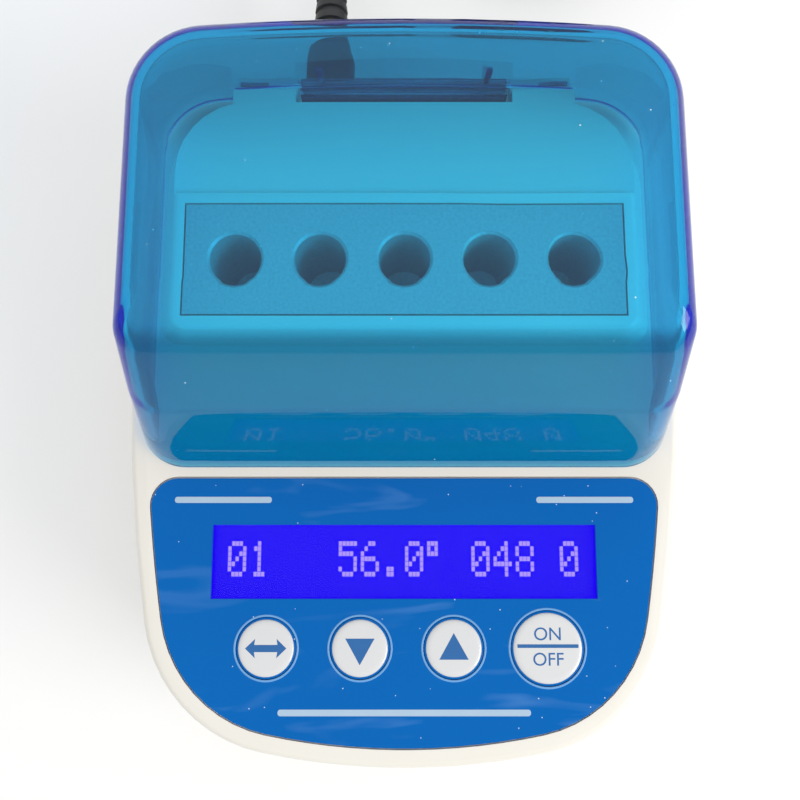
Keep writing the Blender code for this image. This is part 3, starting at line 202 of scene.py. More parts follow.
def moulded(name, colour, shade, roughness, mottle=0.004, grain=0.0003, depth=0.00001,
            metallic=0.0):
    """A moulded or sleeved finish: two close tones over the piece and a fine surface grain."""
    made = bpy.data.materials.new(name)
    made.use_nodes = True
    tree = made.node_tree
    shader = tree.nodes["Principled BSDF"]
    shader.inputs["Roughness"].default_value = roughness
    shader.inputs["Metallic"].default_value = metallic
    place = tree.nodes.new("ShaderNodeTexCoord")
    patch = tree.nodes.new("ShaderNodeTexNoise")
    patch.inputs["Scale"].default_value = 1 / mottle
    patch.inputs["Detail"].default_value = 3.0
    tones = tree.nodes.new("ShaderNodeMix")
    tones.data_type = "RGBA"
    tones.inputs["A"].default_value = (*colour, 1.0)
    tones.inputs["B"].default_value = (*shade, 1.0)
    fine = tree.nodes.new("ShaderNodeTexNoise")
    fine.inputs["Scale"].default_value = 1 / grain
    fine.inputs["Detail"].default_value = 2.0
    bump = tree.nodes.new("ShaderNodeBump")
    bump.inputs["Distance"].default_value = depth
    link(tree, place, "Object", patch, "Vector")
    link(tree, place, "Object", fine, "Vector")
    link(tree, patch, 0, tones, "Factor")
    tree.links.new(tones.outputs["Result"], shader.inputs["Base Color"])
    link(tree, fine, 0, bump, "Height")
    link(tree, bump, 0, shader, "Normal")
    return made


def specks(tree, spacing, size, share, colour):
    """Lays a few specks of dust over whatever shader reaches the surface."""
    place = tree.nodes.new("ShaderNodeTexCoord")
    cells = tree.nodes.new("ShaderNodeTexVoronoi")
    cells.inputs["Scale"].default_value = 1 / spacing
    near = tree.nodes.new("ShaderNodeMath")
    near.operation = "LESS_THAN"
    near.inputs[1].default_value = size / spacing
    kept = tree.nodes.new("ShaderNodeMath")
    kept.operation = "LESS_THAN"
    kept.inputs[1].default_value = share
    both = tree.nodes.new("ShaderNodeMath")
    both.operation = "MULTIPLY"
    dust = tree.nodes.new("ShaderNodeBsdfDiffuse")
    dust.inputs["Color"].default_value = (*colour, 1.0)
    mix = tree.nodes.new("ShaderNodeMixShader")
    output = tree.nodes["Material Output"]
    clean = output.inputs["Surface"].links[0].from_node
    link(tree, place, "Object", cells, "Vector")
    link(tree, cells, "Distance", near, 0)
    link(tree, cells, "Color", kept, 0)
    link(tree, near, 0, both, 0)
    link(tree, kept, 0, both, 1)
    link(tree, both, 0, mix, 0)
    link(tree, clean, 0, mix, 1)
    link(tree, dust, 0, mix, 2)
    link(tree, mix, 0, output, "Surface")


def soft_edges():
    """A modifier tree that joins a node's loose triangles and softens its shallow edges."""
    group = bpy.data.node_groups.new("soft_edges", "GeometryNodeTree")
    for way in ("INPUT", "OUTPUT"):
        group.interface.new_socket("Geometry", in_out=way, socket_type="NodeSocketGeometry")
    start = group.nodes.new("NodeGroupInput")
    merge = group.nodes.new("GeometryNodeMergeByDistance")
    merge.inputs["Distance"].default_value = 0.000001
    angle = group.nodes.new("GeometryNodeInputMeshEdgeAngle")
    sharper = group.nodes.new("FunctionNodeCompare")
    sharper.operation = "GREATER_THAN"
    sharper.inputs[1].default_value = radians(32)
    normals = group.nodes.new("GeometryNodeSetMeshNormal")
    normals.inputs["Remove Custom"].default_value = True
    normals.inputs["Face Sharpness"].default_value = False
    finish = group.nodes.new("NodeGroupOutput")
    group.links.new(start.outputs[0], merge.inputs[0])
    group.links.new(merge.outputs[0], normals.inputs[0])
    group.links.new(angle.outputs["Unsigned Angle"], sharper.inputs[0])
    group.links.new(sharper.outputs[0], normals.inputs["Edge Sharpness"])
    group.links.new(normals.outputs[0], finish.inputs[0])
    return group


edge_softener = soft_edges()


def dress(nodes, finish):
    """Gives CAD nodes their finish and smooth light over their curves."""
    for node in nodes:
        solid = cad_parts[node]
        for place in solid.material_slots:
            place.material = finish
        softener = solid.modifiers.new("soft_edges", "NODES")
        softener.node_group = edge_softener


def add_piece(name, bm, body, finish):
    """A finished piece from a bmesh, riding on its body."""
    mesh = bpy.data.meshes.new(name)
    bm.to_mesh(mesh)
    bm.free()
    mesh.materials.append(finish)
    made = bpy.data.objects.new(name, mesh)
    bpy.context.scene.collection.objects.link(made)
    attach(made, body)
    return made


vinyl = moulded("black_vinyl", (0.018, 0.018, 0.017), (0.026, 0.026, 0.025), 0.42, grain=0.0005)
black_moulding = moulded("black_moulding", (0.020, 0.020, 0.021), (0.032, 0.032, 0.033), 0.48,
                         depth=0.00002)
cord_line = [Vector(cord_start)] + smooth(cord_route, 4)
cord_end, lead_end = cord_route[-1], lead_route[0]
cord_line += [Vector((cord_end[0], (cord_end[1] + coil_middle[1]) / 2, cord_end[2]))]
cord_line += coil_turns()
cord_line += [Vector((lead_end[0], (lead_end[1] + coil_middle[1]) / 2, lead_end[2]))]
cord_line += smooth(lead_route, 4)
cord_curve = bpy.data.curves.new("supply_cord_jacket", "CURVE")
cord_curve.dimensions = "3D"
cord_curve.bevel_depth = cord_radius
cord_curve.bevel_resolution = 5
cord_curve.use_fill_caps = True
cord_spline = cord_curve.splines.new("POLY")
cord_spline.points.add(len(cord_line) - 1)
for point, at in zip(cord_spline.points, cord_line):
    point.co = (*at, 1.0)
cord_curve.materials.append(vinyl)
cord_jacket = bpy.data.objects.new("supply_cord_jacket", cord_curve)
bpy.context.scene.collection.objects.link(cord_jacket)
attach(cord_jacket, "housing")
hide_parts("supply_cord", "cord_coil", "adapter_cord")

tie_middle = (coil_middle[0] - coil_mean, coil_middle[1], coil_floor + 3 * cord_radius)
tie_half = 3 * cord_radius
tie_bm = bmesh.new()
bmesh.ops.create_cube(tie_bm, size=1.0)
bmesh.ops.scale(tie_bm, vec=(2 * tie_half, 3.0 * mm, 2 * tie_half), verts=tie_bm.verts)
bmesh.ops.delete(
    tie_bm, geom=[face for face in tie_bm.faces if abs(face.normal.y) > 0.9], context="FACES_ONLY",
)
bmesh.ops.bevel(
    tie_bm, geom=[edge for edge in tie_bm.edges if not edge.is_boundary], offset=cord_radius,
    segments=5, profile=0.5, affect="EDGES", material=-1,
)
bmesh.ops.translate(tie_bm, vec=tie_middle, verts=tie_bm.verts)
bmesh.ops.recalc_face_normals(tie_bm, faces=tie_bm.faces)
bmesh.ops.solidify(tie_bm, geom=tie_bm.faces, thickness=-0.2 * mm)
tie_finish = moulded("tie_sleeve", (0.03, 0.03, 0.03), (0.05, 0.05, 0.05), 0.6)
cord_tie = add_piece("cord_tie", tie_bm, "housing", tie_finish)
dress(("dc_plug", "plug_strain_relief", "mains_adapter"), black_moulding)
blade_metal = moulded("nickel_plate", (0.72, 0.69, 0.60), (0.62, 0.59, 0.50), 0.28, metallic=1.0)
dress(("adapter_blade_left", "adapter_blade_right"), blade_metal)


# Bottom cover, feet and cover screws.
# The ivory tray is an injection moulding with a fine satin texture; four rubber feet
# are pressed into its pockets and four plated screws come up through it.
ivory = moulded("ivory_moulding", (0.83, 0.80, 0.735), (0.80, 0.765, 0.69), 0.36,
                mottle=0.02, grain=0.00025)
dress(("bottom_cover", "top_cover"), ivory)
corner_names = ("front_left", "front_right", "rear_left", "rear_right")
foot_rubber = moulded("foot_rubber", (0.022, 0.022, 0.022), (0.04, 0.04, 0.038), 0.85,
                      depth=0.00004)
dress([f"rubber_foot_{corner}" for corner in corner_names], foot_rubber)
plated = moulded("zinc_plate", (0.62, 0.62, 0.63), (0.52, 0.52, 0.53), 0.30, metallic=1.0)


def cross_screw(name, replaced):
    """A pan-head screw with a cross recess, its head down."""
    low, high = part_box(replaced)
    middle = (low + high) / 2
    head_radius = (high.x - low.x) / 2
    head_height = 2.0 * mm
    shank = 1.45 * mm
    bm = bmesh.new()
    profile = [
        (0.0, high.z), (shank * 0.3, high.z), (shank, high.z - 2 * shank),
        (shank, low.z + head_height),
        (head_radius, low.z + head_height * 0.8), (head_radius, low.z + head_height * 0.35),
        (head_radius * 0.8, low.z + head_height * 0.08), (head_radius * 0.5, low.z),
        (head_radius * 0.36, low.z), (0.0, low.z + head_height * 0.7),
    ]
    corners = [bm.verts.new((radius, 0.0, height)) for radius, height in profile]
    outline = [bm.edges.new(pair) for pair in zip(corners, corners[1:])]
    bmesh.ops.spin(bm, geom=corners + outline, cent=(0, 0, 0), axis=(0, 0, 1), angle=2 * pi,
                   steps=32, use_merge=True)
    bmesh.ops.remove_doubles(bm, verts=bm.verts, dist=0.000001)
    for vert in bm.verts:
        if vert.co.z < low.z + 0.001 * mm and vert.co.xy.length < head_radius * 0.4:
            around = atan2(vert.co.y, vert.co.x)
            turn = min(around % (pi / 2), pi / 2 - around % (pi / 2))
            reach = min(head_radius * 0.48, head_radius * 0.1 / max(sin(turn), 0.01))
            vert.co.xy = (reach * cos(around), reach * sin(around))
    for face in bm.faces:
        face.smooth = abs(face.normal.z) < 0.9
    bmesh.ops.recalc_face_normals(bm, faces=bm.faces)
    bmesh.ops.translate(bm, vec=(middle.x, middle.y, 0.0), verts=bm.verts)
    made = add_piece(name, bm, "housing", plated)
    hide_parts(replaced)


for corner in corner_names:
    cross_screw(f"driven_screw_{corner}", f"cover_screw_{corner}")


# Boards, heater stack and inner leads, closed in by the covers.
# Green glass-fibre boards, a film heater and silicone foam clamped under the block,
# and sleeved wires between them.
board_green = moulded("solder_resist", (0.02, 0.16, 0.06), (0.03, 0.24, 0.09), 0.35, mottle=0.002)
dress(("control_board", "main_board"), board_green)
heater_film = moulded("heater_film", (0.58, 0.25, 0.05), (0.45, 0.18, 0.03), 0.4, mottle=0.003)
dress(("heater_plate",), heater_film)
foam = moulded("silicone_foam", (0.72, 0.36, 0.26), (0.60, 0.28, 0.20), 0.9,
               mottle=0.001, depth=0.0001)
dress(("insulation_pad",), foam)
dress(("clamp_plate", "clamp_screw_left", "clamp_screw_right", "temperature_probe", "hinge_pin"),
      plated)
dress(("thermal_cutoff", "supply_capacitor", "heater_transistor", "dc_socket", "switch_cycle",
       "switch_down", "switch_up", "switch_start_stop"), black_moulding)
grey_sleeve = moulded("grey_sleeve", (0.38, 0.38, 0.39), (0.30, 0.30, 0.31), 0.55)
dress(("board_ribbon", "probe_lead"), grey_sleeve)
red_sleeve = moulded("red_sleeve", (0.45, 0.03, 0.03), (0.34, 0.02, 0.02), 0.5)
dress(("heater_lead",), red_sleeve)
dress(("supply_lead",), vinyl)


# Heating block.
# Milled aluminium, blasted to a fine sparkle, with five wells drilled from above.
blasted = moulded("blasted_aluminium", (0.70, 0.70, 0.69), (0.46, 0.46, 0.45), 0.52,
                  mottle=0.0005, grain=0.00022, depth=0.00006, metallic=0.35)
dress(("heating_block",), blasted)


# Display.
# A blue backlit liquid-crystal glass under a clear lens, with pale characters made of
# five by seven dots.
def lit(name, colour, strength):
    """A lit surface of one colour, slightly uneven over its area."""
    made = moulded(name, [c * 0.1 for c in colour], [c * 0.08 for c in colour], 0.3,
                   mottle=0.02)
    shader = made.node_tree.nodes["Principled BSDF"]
    shader.inputs["Emission Color"].default_value = (*colour, 1.0)
    shader.inputs["Emission Strength"].default_value = strength
    shader.inputs["Specular IOR Level"].default_value = 0.05
    return made


display_blue = lit("display_blue", (0.012, 0.0006, 0.90), 0.95)
dress(("display_glass",), display_blue)
diffuser_white = moulded("diffuser_white", (0.85, 0.85, 0.85), (0.78, 0.78, 0.78), 0.5)
dress(("display_backlight",), diffuser_white)
dot_light = lit("dot_light", (0.42, 0.31, 0.92), 0.95)
digits = {
    "0": ("01110", "10001", "10011", "10101", "11001", "10001", "01110"),
    "1": ("00100", "01100", "00100", "00100", "00100", "00100", "01110"),
    "4": ("00010", "00110", "01010", "10010", "11111", "00010", "00010"),
    "5": ("11111", "10000", "11110", "00001", "00001", "10001", "01110"),
    "6": ("00110", "01000", "10000", "11110", "10001", "10001", "01110"),
    "8": ("01110", "10001", "10001", "01110", "10001", "10001", "01110"),
    ".": ("00000", "00000", "00000", "00000", "00000", "01100", "01100"),
    "o": ("11100", "10100", "11100", "00000", "00000", "00000", "00000"),
}
reading = "01   56.0o 048 0"
column_pitch = 3.838 * mm
dot_pitch = (0.645 * mm, 0.868 * mm)
dot_size = (0.57 * mm, 0.78 * mm, 0.03 * mm)
first_dot = (-30.57 * mm + dot_pitch[0] / 2, -23.74 * mm - dot_pitch[1] / 2)
glass_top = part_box("display_glass")[1].z
dots_bm = bmesh.new()
for column, sign in enumerate(reading):
    for row, bits in enumerate(digits.get(sign, ())):
        for across, bit in enumerate(bits):
            if bit == "0":
                continue
            at = (
                first_dot[0] + column * column_pitch + across * dot_pitch[0],
                first_dot[1] - row * dot_pitch[1],
                glass_top + dot_size[2],
            )
            dot_frame = Matrix.Translation(at) @ Matrix.Diagonal((*dot_size, 1.0))
            bmesh.ops.create_cube(dots_bm, size=1.0, matrix=dot_frame)
add_piece("display_characters", dots_bm, "housing", dot_light)


def clear_finish(name, tint, ior):
    """Clear plastic that lets the room's light through to what is under it."""
    made = bpy.data.materials.new(name)
    made.use_nodes = True
    tree = made.node_tree
    shader = tree.nodes["Principled BSDF"]
    shader.inputs["Base Color"].default_value = (*tint, 1.0)
    shader.inputs["Roughness"].default_value = 0.02
    shader.inputs["IOR"].default_value = ior
    shader.inputs["Transmission Weight"].default_value = 1.0
    light_path = tree.nodes.new("ShaderNodeLightPath")
    either = tree.nodes.new("ShaderNodeMath")
    either.operation = "MAXIMUM"
    link(tree, light_path, "Is Shadow Ray", either, 0)
    link(tree, light_path, "Is Diffuse Ray", either, 1)
    through = tree.nodes.new("ShaderNodeBsdfTransparent")
    mix = tree.nodes.new("ShaderNodeMixShader")
    link(tree, either, 0, mix, 0)
    link(tree, shader, 0, mix, 1)
    link(tree, through, 0, mix, 2)
    link(tree, mix, 0, tree.nodes["Material Output"], "Surface")
    return made


dress(("display_lens",), clear_finish("lens_acrylic", (0.97, 0.98, 1.0), 1.14))


# Panel overlay.
# Blue reverse-printed polyester film laid in the deck's recess, with pale bars; the
# name over the display is left bare.
overlay_blue = moulded("printed_film", (0.0, 0.115, 0.43), (0.0, 0.135, 0.47), 0.24,
                       mottle=0.03, grain=0.004, depth=0.00002)
overlay_shader = overlay_blue.node_tree.nodes["Principled BSDF"]
overlay_shader.inputs["Specular IOR Level"].default_value = 0.08
overlay_tree = overlay_blue.node_tree
# Painted sheen: paler blue streaks laid at a slant over the film, stronger towards the right,
# stand in for light reflected off its creases.
overlay_place = overlay_tree.nodes.new("ShaderNodeTexCoord")
overlay_along = overlay_tree.nodes.new("ShaderNodeMapping")
overlay_along.inputs["Rotation"].default_value = (0.0, 0.0, radians(-38))
overlay_along.inputs["Scale"].default_value = (30.0, 150.0, 30.0)
overlay_crease_sheen = overlay_tree.nodes.new("ShaderNodeTexNoise")
overlay_crease_sheen.inputs["Scale"].default_value = 1.0
overlay_crease_sheen.inputs["Distortion"].default_value = 1.4
overlay_sheen_streak = overlay_tree.nodes.new("ShaderNodeMapRange")
overlay_sheen_streak.inputs["From Min"].default_value = 0.57
overlay_sheen_streak.inputs["From Max"].default_value = 0.70
overlay_sheen_streak.inputs["To Max"].default_value = 0.34
overlay_axes = overlay_tree.nodes.new("ShaderNodeSeparateXYZ")
overlay_sheen_side = overlay_tree.nodes.new("ShaderNodeMapRange")
overlay_sheen_side.inputs["From Min"].default_value = -5.0 * mm
overlay_sheen_side.inputs["From Max"].default_value = 25.0 * mm
overlay_sheen_side.inputs["To Min"].default_value = 0.35
overlay_sheen_share = overlay_tree.nodes.new("ShaderNodeMath")
overlay_sheen_share.operation = "MULTIPLY"
overlay_painted_sheen = overlay_tree.nodes.new("ShaderNodeMix")
overlay_painted_sheen.data_type = "RGBA"
overlay_painted_sheen.inputs["B"].default_value = (0.16, 0.36, 0.72, 1.0)
overlay_print = overlay_shader.inputs["Base Color"].links[0].from_socket
link(overlay_tree, overlay_place, "Object", overlay_along, "Vector")
link(overlay_tree, overlay_along, 0, overlay_crease_sheen, "Vector")
link(overlay_tree, overlay_crease_sheen, 0, overlay_sheen_streak, "Value")
link(overlay_tree, overlay_place, "Object", overlay_axes, "Vector")
link(overlay_tree, overlay_axes, "X", overlay_sheen_side, "Value")
link(overlay_tree, overlay_sheen_streak, 0, overlay_sheen_share, 0)
link(overlay_tree, overlay_sheen_side, 0, overlay_sheen_share, 1)
link(overlay_tree, overlay_sheen_share, 0, overlay_painted_sheen, "Factor")
overlay_tree.links.new(overlay_print, overlay_painted_sheen.inputs["A"])
overlay_tree.links.new(overlay_painted_sheen.outputs["Result"], overlay_shader.inputs["Base Color"])
specks(overlay_tree, 1.6 * mm, 0.10 * mm, 0.35, (0.62, 0.74, 0.84))
dress(("panel_overlay",), overlay_blue)
overlay_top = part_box("panel_overlay")[1].z
bar_print = moulded("bar_print", (0.42, 0.56, 0.70), (0.38, 0.52, 0.66), 0.35)
bars = ((-31.15 * mm, -16.7 * mm, 16.7 * mm), (31.15 * mm, -16.7 * mm, 16.7 * mm),
        (0.0, -51.75 * mm, 42.0 * mm))
bar_width = 1.05 * mm
bar_lift = 0.02 * mm
bars_bm = bmesh.new()
for x, y, length in bars:
    bar_frame = Matrix.Translation((x, y, overlay_top + bar_lift))
    bar_frame @= Matrix.Diagonal((length, bar_width, bar_lift, 1.0))
    made = bmesh.ops.create_cube(bars_bm, size=1.0, matrix=bar_frame)
    upright = [edge for vert in made["verts"] for edge in vert.link_edges
               if abs(edge.verts[0].co.z - edge.verts[1].co.z) > bar_lift / 2]
    bmesh.ops.bevel(bars_bm, geom=list(set(upright)), offset=bar_width * 0.42, segments=4,
                    profile=0.5, affect="EDGES", material=-1)
add_piece("panel_bars", bars_bm, "housing", bar_print)


# Keys.
# White printed domes in the film, each with a blue edge and a raised ring round it painted
# paler as a highlight; three carry plain signs and the larger one is split by a bar.
key_places = {
    "key_cycle": (-23.166 * mm, 5.1 * mm),
    "key_down": (-7.422 * mm, 5.1 * mm),
    "key_up": (8.322 * mm, 5.1 * mm),
    "key_start_stop": (24.066 * mm, 6.2 * mm),
}
key_y = -41.4 * mm
key_white = moulded("key_white", (0.70, 0.70, 0.70), (0.66, 0.66, 0.67), 0.28, mottle=0.006)
key_white.node_tree.nodes["Principled BSDF"].inputs["Coat Weight"].default_value = 0.8
# Painted highlight: the raised ring is a paler blue than the film, standing in for light caught on
# its embossed edge.
ring_highlight_blue = moulded("ring_highlight_blue", (0.12, 0.33, 0.66), (0.16, 0.38, 0.72), 0.3)
sign_blue = moulded("sign_blue", (0.005, 0.11, 0.34), (0.01, 0.13, 0.38), 0.35)
cap_drop, cap_round, flange_height = 0.34 * mm, 0.3 * mm, 0.8 * mm
face_inset, dome_reach, dome_rise = 0.4 * mm, 1.1 * mm, 0.36 * mm
ring_gap, ring_reach, ring_rise, ring_sunk = 0.03 * mm, 0.40 * mm, 0.10 * mm, 0.1 * mm


def turned(bm, profile, x, y, steps):
    """Spins a (radius, height) profile round an upright line."""
    corners = [bm.verts.new((radius, 0.0, height)) for radius, height in profile]
    outline = [bm.edges.new(pair) for pair in zip(corners, corners[1:])]
    bmesh.ops.spin(bm, geom=corners + outline, cent=(0, 0, 0), axis=(0, 0, 1), angle=2 * pi,
                   steps=steps, use_merge=True)
    bmesh.ops.remove_doubles(bm, verts=bm.verts, dist=0.000001)
    bmesh.ops.translate(bm, vec=(x, y, 0.0), verts=bm.verts)
    for face in bm.faces:
        face.smooth = True
    bmesh.ops.recalc_face_normals(bm, faces=bm.faces)


for key, (key_x, key_radius) in key_places.items():
    low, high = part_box(key)
    flange = (high.x - low.x) / 2
    shoulder = high.z - cap_drop
    crown = [(key_radius - cap_round * (1 - cos(radians(a))),
              shoulder - cap_round * (1 - sin(radians(a)))) for a in (90, 60, 30, 0)]
    cap_bm = bmesh.new()
    profile = [(0.0, shoulder)] + crown + [
        (key_radius, low.z + flange_height), (flange, low.z + flange_height), (flange, low.z),
        (0.0, low.z),
    ]
    turned(cap_bm, profile, key_x, key_y, 64)
    cap = add_piece(key + "_cap", cap_bm, key, overlay_blue)
    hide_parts(key)
    face_radius = key_radius - face_inset
    dome_bm = bmesh.new()
    dome = [(0.0, high.z)] + [
        (face_radius - dome_reach * (1 - cos(radians(a))),
         high.z - dome_rise * (1 - sin(radians(a)))) for a in (90, 72, 54, 36, 18, 0)
    ] + [(0.0, high.z - dome_rise)]
    turned(dome_bm, dome, key_x, key_y, 64)
    add_piece(key + "_face", dome_bm, key, key_white)
    ring_bm = bmesh.new()
    inner = key_radius + ring_gap
    outer = key_radius + ring_reach
    ring = [(inner + (outer - inner) * (1 - cos(radians(a))) / 2,
             overlay_top + ring_rise * sin(radians(a))) for a in range(0, 181, 30)]
    ring += [(outer, overlay_top - ring_sunk), (inner, overlay_top - ring_sunk),
             (inner, overlay_top)]
    turned(ring_bm, ring, key_x, key_y, 64)
    add_piece(key + "_ring", ring_bm, "housing", ring_highlight_blue)


def sign_plate(name, body, outlines):
    """Thin printed signs on a key's crown, each outline given as (x, y) corners."""
    print_lift, print_thick = 0.005 * mm, 0.015 * mm
    bm = bmesh.new()
    crown_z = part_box(body)[1].z
    for outline in outlines:
        corners = [bm.verts.new((x, y, crown_z + print_lift)) for x, y in outline]
        face = bm.faces.new(corners)
        lifted = bmesh.ops.extrude_face_region(bm, geom=[face])
        tops = [item for item in lifted["geom"] if isinstance(item, bmesh.types.BMVert)]
        bmesh.ops.translate(bm, vec=(0.0, 0.0, print_thick), verts=tops)
    bmesh.ops.recalc_face_normals(bm, faces=bm.faces)
    return add_piece(name, bm, body, sign_blue)


def at_key(key, points):
    """Points given in millimetres from a key's middle, in the row frame."""
    return [(key_places[key][0] + x * mm, key_y + y * mm) for x, y in points]


arrow = [(3.45, 0.0), (1.80, 1.55), (1.95, 0.58), (-1.95, 0.58), (-1.80, 1.55),
         (-3.45, 0.0), (-1.80, -1.55), (-1.95, -0.58), (1.95, -0.58), (1.80, -1.55)]
sign_plate("cycle_sign", "key_cycle", [at_key("key_cycle", arrow)])
sign_plate("down_sign", "key_down", [at_key("key_down", [(-2.45, 1.6), (0.0, -2.7), (2.45, 1.6)])])
sign_plate("up_sign", "key_up", [at_key("key_up", [(-2.45, -1.8), (2.45, -1.8), (0.0, 2.5)])])
sign_plate("start_stop_bar", "key_start_stop",
           [at_key("key_start_stop", [(-5.1, 0.1), (5.1, 0.1), (5.1, 0.68), (-5.1, 0.68)])])
for name, word, rise in (("on_word", "ON", 1.35), ("off_word", "OFF", -2.75)):
    letters = bpy.data.curves.new(name, "FONT")
    letters.body = word
    letters.size = 3.0 * mm
    letters.align_x = "CENTER"
    letters.extrude = 0.008 * mm
    drawn = bpy.data.objects.new(name + "_drawn", letters)
    bpy.context.scene.collection.objects.link(drawn)
    word_mesh = bpy.data.meshes.new_from_object(drawn)
    bpy.data.objects.remove(drawn)
    word_bm = bmesh.new()
    word_bm.from_mesh(word_mesh)
    word_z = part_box("key_start_stop")[1].z + 0.015 * mm
    bmesh.ops.translate(word_bm, verts=word_bm.verts,
                        vec=(key_places["key_start_stop"][0], key_y + rise * mm, word_z))
    add_piece(name, word_bm, "key_start_stop", sign_blue)


# Lid.
# One clear blue moulding, two millimetres thick, with painted shade darkening its steep walls,
# whose front leans back at a knuckle; the hinge barrel and two stop tabs are part of it.
lid_half, lid_front, lid_rear = 45.8 * mm, -11.1 * mm, 59.5 * mm
lid_rim, lid_top, lid_thick = 38.3 * mm, 68.0 * mm, 2.0 * mm
side_lean, front_slope = radians(7.1), radians(62.5)
side_fold = 6.0 * mm
knuckle_z, knuckle_slope, knuckle_round, brow_round = 52.0 * mm, radians(56.0), 8.0 * mm, 12.0 * mm
brow_z = knuckle_z + knuckle_round * (cos(knuckle_slope) - cos(front_slope))
turn_z = lid_top - brow_round * (1 - cos(knuckle_slope))
front_corner, corner_taper, top_corner = 8.0 * mm, 0.15, 2.1 * mm
rear_corner = 12.5 * mm
rear_bow = 420.0 * mm
notch_x, notch_z = (18.45 * mm, 30.4 * mm), 43.35 * mm
relief_y, relief_z = 50.0 * mm, 0.9 * mm
hinge_y, hinge_z = 58.9 * mm, 41.0 * mm


def front_at(z):
    """Where the lid's front stands at a height: a wall, a knuckle, a flatter wall and the brow."""
    knuckle_y = lid_front + (knuckle_z - lid_rim) / tan(front_slope)
    brow_y = knuckle_y + knuckle_round * (sin(front_slope) - sin(knuckle_slope))
    if z <= knuckle_z:
        return lid_front + (z - lid_rim) / tan(front_slope)
    if z <= brow_z:
        slope = acos(cos(front_slope) + (z - knuckle_z) / knuckle_round)
        return knuckle_y + knuckle_round * (sin(front_slope) - sin(slope))
    turn_y = brow_y + (turn_z - brow_z) / tan(knuckle_slope)
    if z <= turn_z:
        return brow_y + (z - brow_z) / tan(knuckle_slope)
    slope = acos(min(cos(knuckle_slope) + (z - turn_z) / brow_round, 1.0))
    return turn_y + brow_round * (sin(knuckle_slope) - sin(slope))


def side_at(z):
    """How far a side or the rear has come in at a height, and the top fold's share of it."""
    start = lid_top - side_fold * (1 - sin(side_lean))
    if z <= start:
        return (z - lid_rim) * tan(side_lean), 0.0
    turn = sqrt(max(1 - (1 - (lid_top - z) / side_fold) ** 2, 0.0))
    fold = side_fold * (cos(side_lean) - turn)
    return (start - lid_rim) * tan(side_lean) + fold, fold


def bend(middle, radius, start, end, steps):
    """Points round an arc seen from above."""
    turns = [start + (end - start) * step / steps for step in range(steps + 1)]
    return [(middle[0] + radius * cos(turn), middle[1] + radius * sin(turn)) for turn in turns]


def lid_outline(z):
    """The lid's outline at a height, from its front's middle round to its rear's middle."""
    inset, fold = side_at(z)
    half = lid_half - inset
    corner = max(front_corner - corner_taper * (z - lid_rim) - fold, top_corner)
    front = front_at(z)
    right = [(step / 5 * (half - corner), front) for step in range(5)]
    right += bend((half - corner, front + corner), corner, -pi / 2, 0.0, 12)
    corner = rear_corner - fold
    bow_y = lid_rear - inset - rear_bow
    far = (half - corner, bow_y + sqrt((rear_bow - corner) ** 2 - (half - corner) ** 2))
    near_y = right[-1][1]
    right += [(half, near_y + (far[1] - near_y) * step / 8) for step in range(1, 8)]
    turn = atan2(far[1] - bow_y, far[0])
    right += bend(far, corner, 0.0, turn, 12)
    meet = right[-1][0]
    stations = ((meet + notch_x[1]) / 2, notch_x[1], sum(notch_x) / 2, notch_x[0], notch_x[0] / 2,
                0.0)
    right += [(x, bow_y + sqrt(rear_bow ** 2 - x ** 2)) for x in stations]
    return right


heights = [lid_rim, notch_z] + [notch_z + (knuckle_z - notch_z) * step / 3 for step in (1, 2, 3)]
heights += [knuckle_z + (brow_z - knuckle_z) * step / 5 for step in range(1, 6)]
fold_z = lid_top - side_fold * (1 - sin(side_lean))
heights += [brow_z + (fold_z - brow_z) * step / 7 for step in range(1, 8)]
fold_turn = (pi / 2 - side_lean) / 14
heights += [lid_top - side_fold * (1 - sin(side_lean + fold_turn * step)) for step in range(1, 15)]
lid_bm = bmesh.new()
below = None
for z in heights:
    right = lid_outline(z)
    around = right + [(-x, y) for x, y in reversed(right[1:-1])]
    lift = [relief_z if z == lid_rim and y > relief_y else 0.0 for _, y in around]
    ring = [lid_bm.verts.new((x, y, z + up)) for (x, y), up in zip(around, lift)]
    loop = [lid_bm.edges.new((ring[i - 1], ring[i])) for i in range(len(ring))]
    if below:
        bmesh.ops.bridge_loops(lid_bm, edges=below + loop)
    below = loop
bmesh.ops.contextual_create(lid_bm, geom=below)
in_notch = []
for face in lid_bm.faces:
    at = face.calc_center_median()
    if at.y > relief_y and at.z < notch_z and notch_x[0] < abs(at.x) < notch_x[1]:
        in_notch.append(face)
bmesh.ops.delete(lid_bm, geom=in_notch, context="FACES")
bmesh.ops.recalc_face_normals(lid_bm, faces=lid_bm.faces)
lid_mesh = bpy.data.meshes.new("lid_shell")
for face in lid_bm.faces:
    face.smooth = True
lid_bm.to_mesh(lid_mesh)
lid_bm.free()
lid_shell = bpy.data.objects.new("lid_shell", lid_mesh)
bpy.context.scene.collection.objects.link(lid_shell)
wall = lid_shell.modifiers.new("wall", "SOLIDIFY")
wall.thickness = lid_thick
wall.offset = -1.0
wall.use_even_offset = True
rim_round = lid_shell.modifiers.new("rim_round", "BEVEL")
rim_round.width = 0.35 * mm
rim_round.segments = 3
rim_round.limit_method = "ANGLE"
rim_round.angle_limit = radians(60)
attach(lid_shell, "lid")
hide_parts("lid")

lid_blue = clear_finish("clear_blue", (0.96, 0.99, 1.0), 1.42)
lid_tree = lid_blue.node_tree
lid_shader = lid_tree.nodes["Principled BSDF"]
lid_shader.inputs["Specular IOR Level"].default_value = 0.3
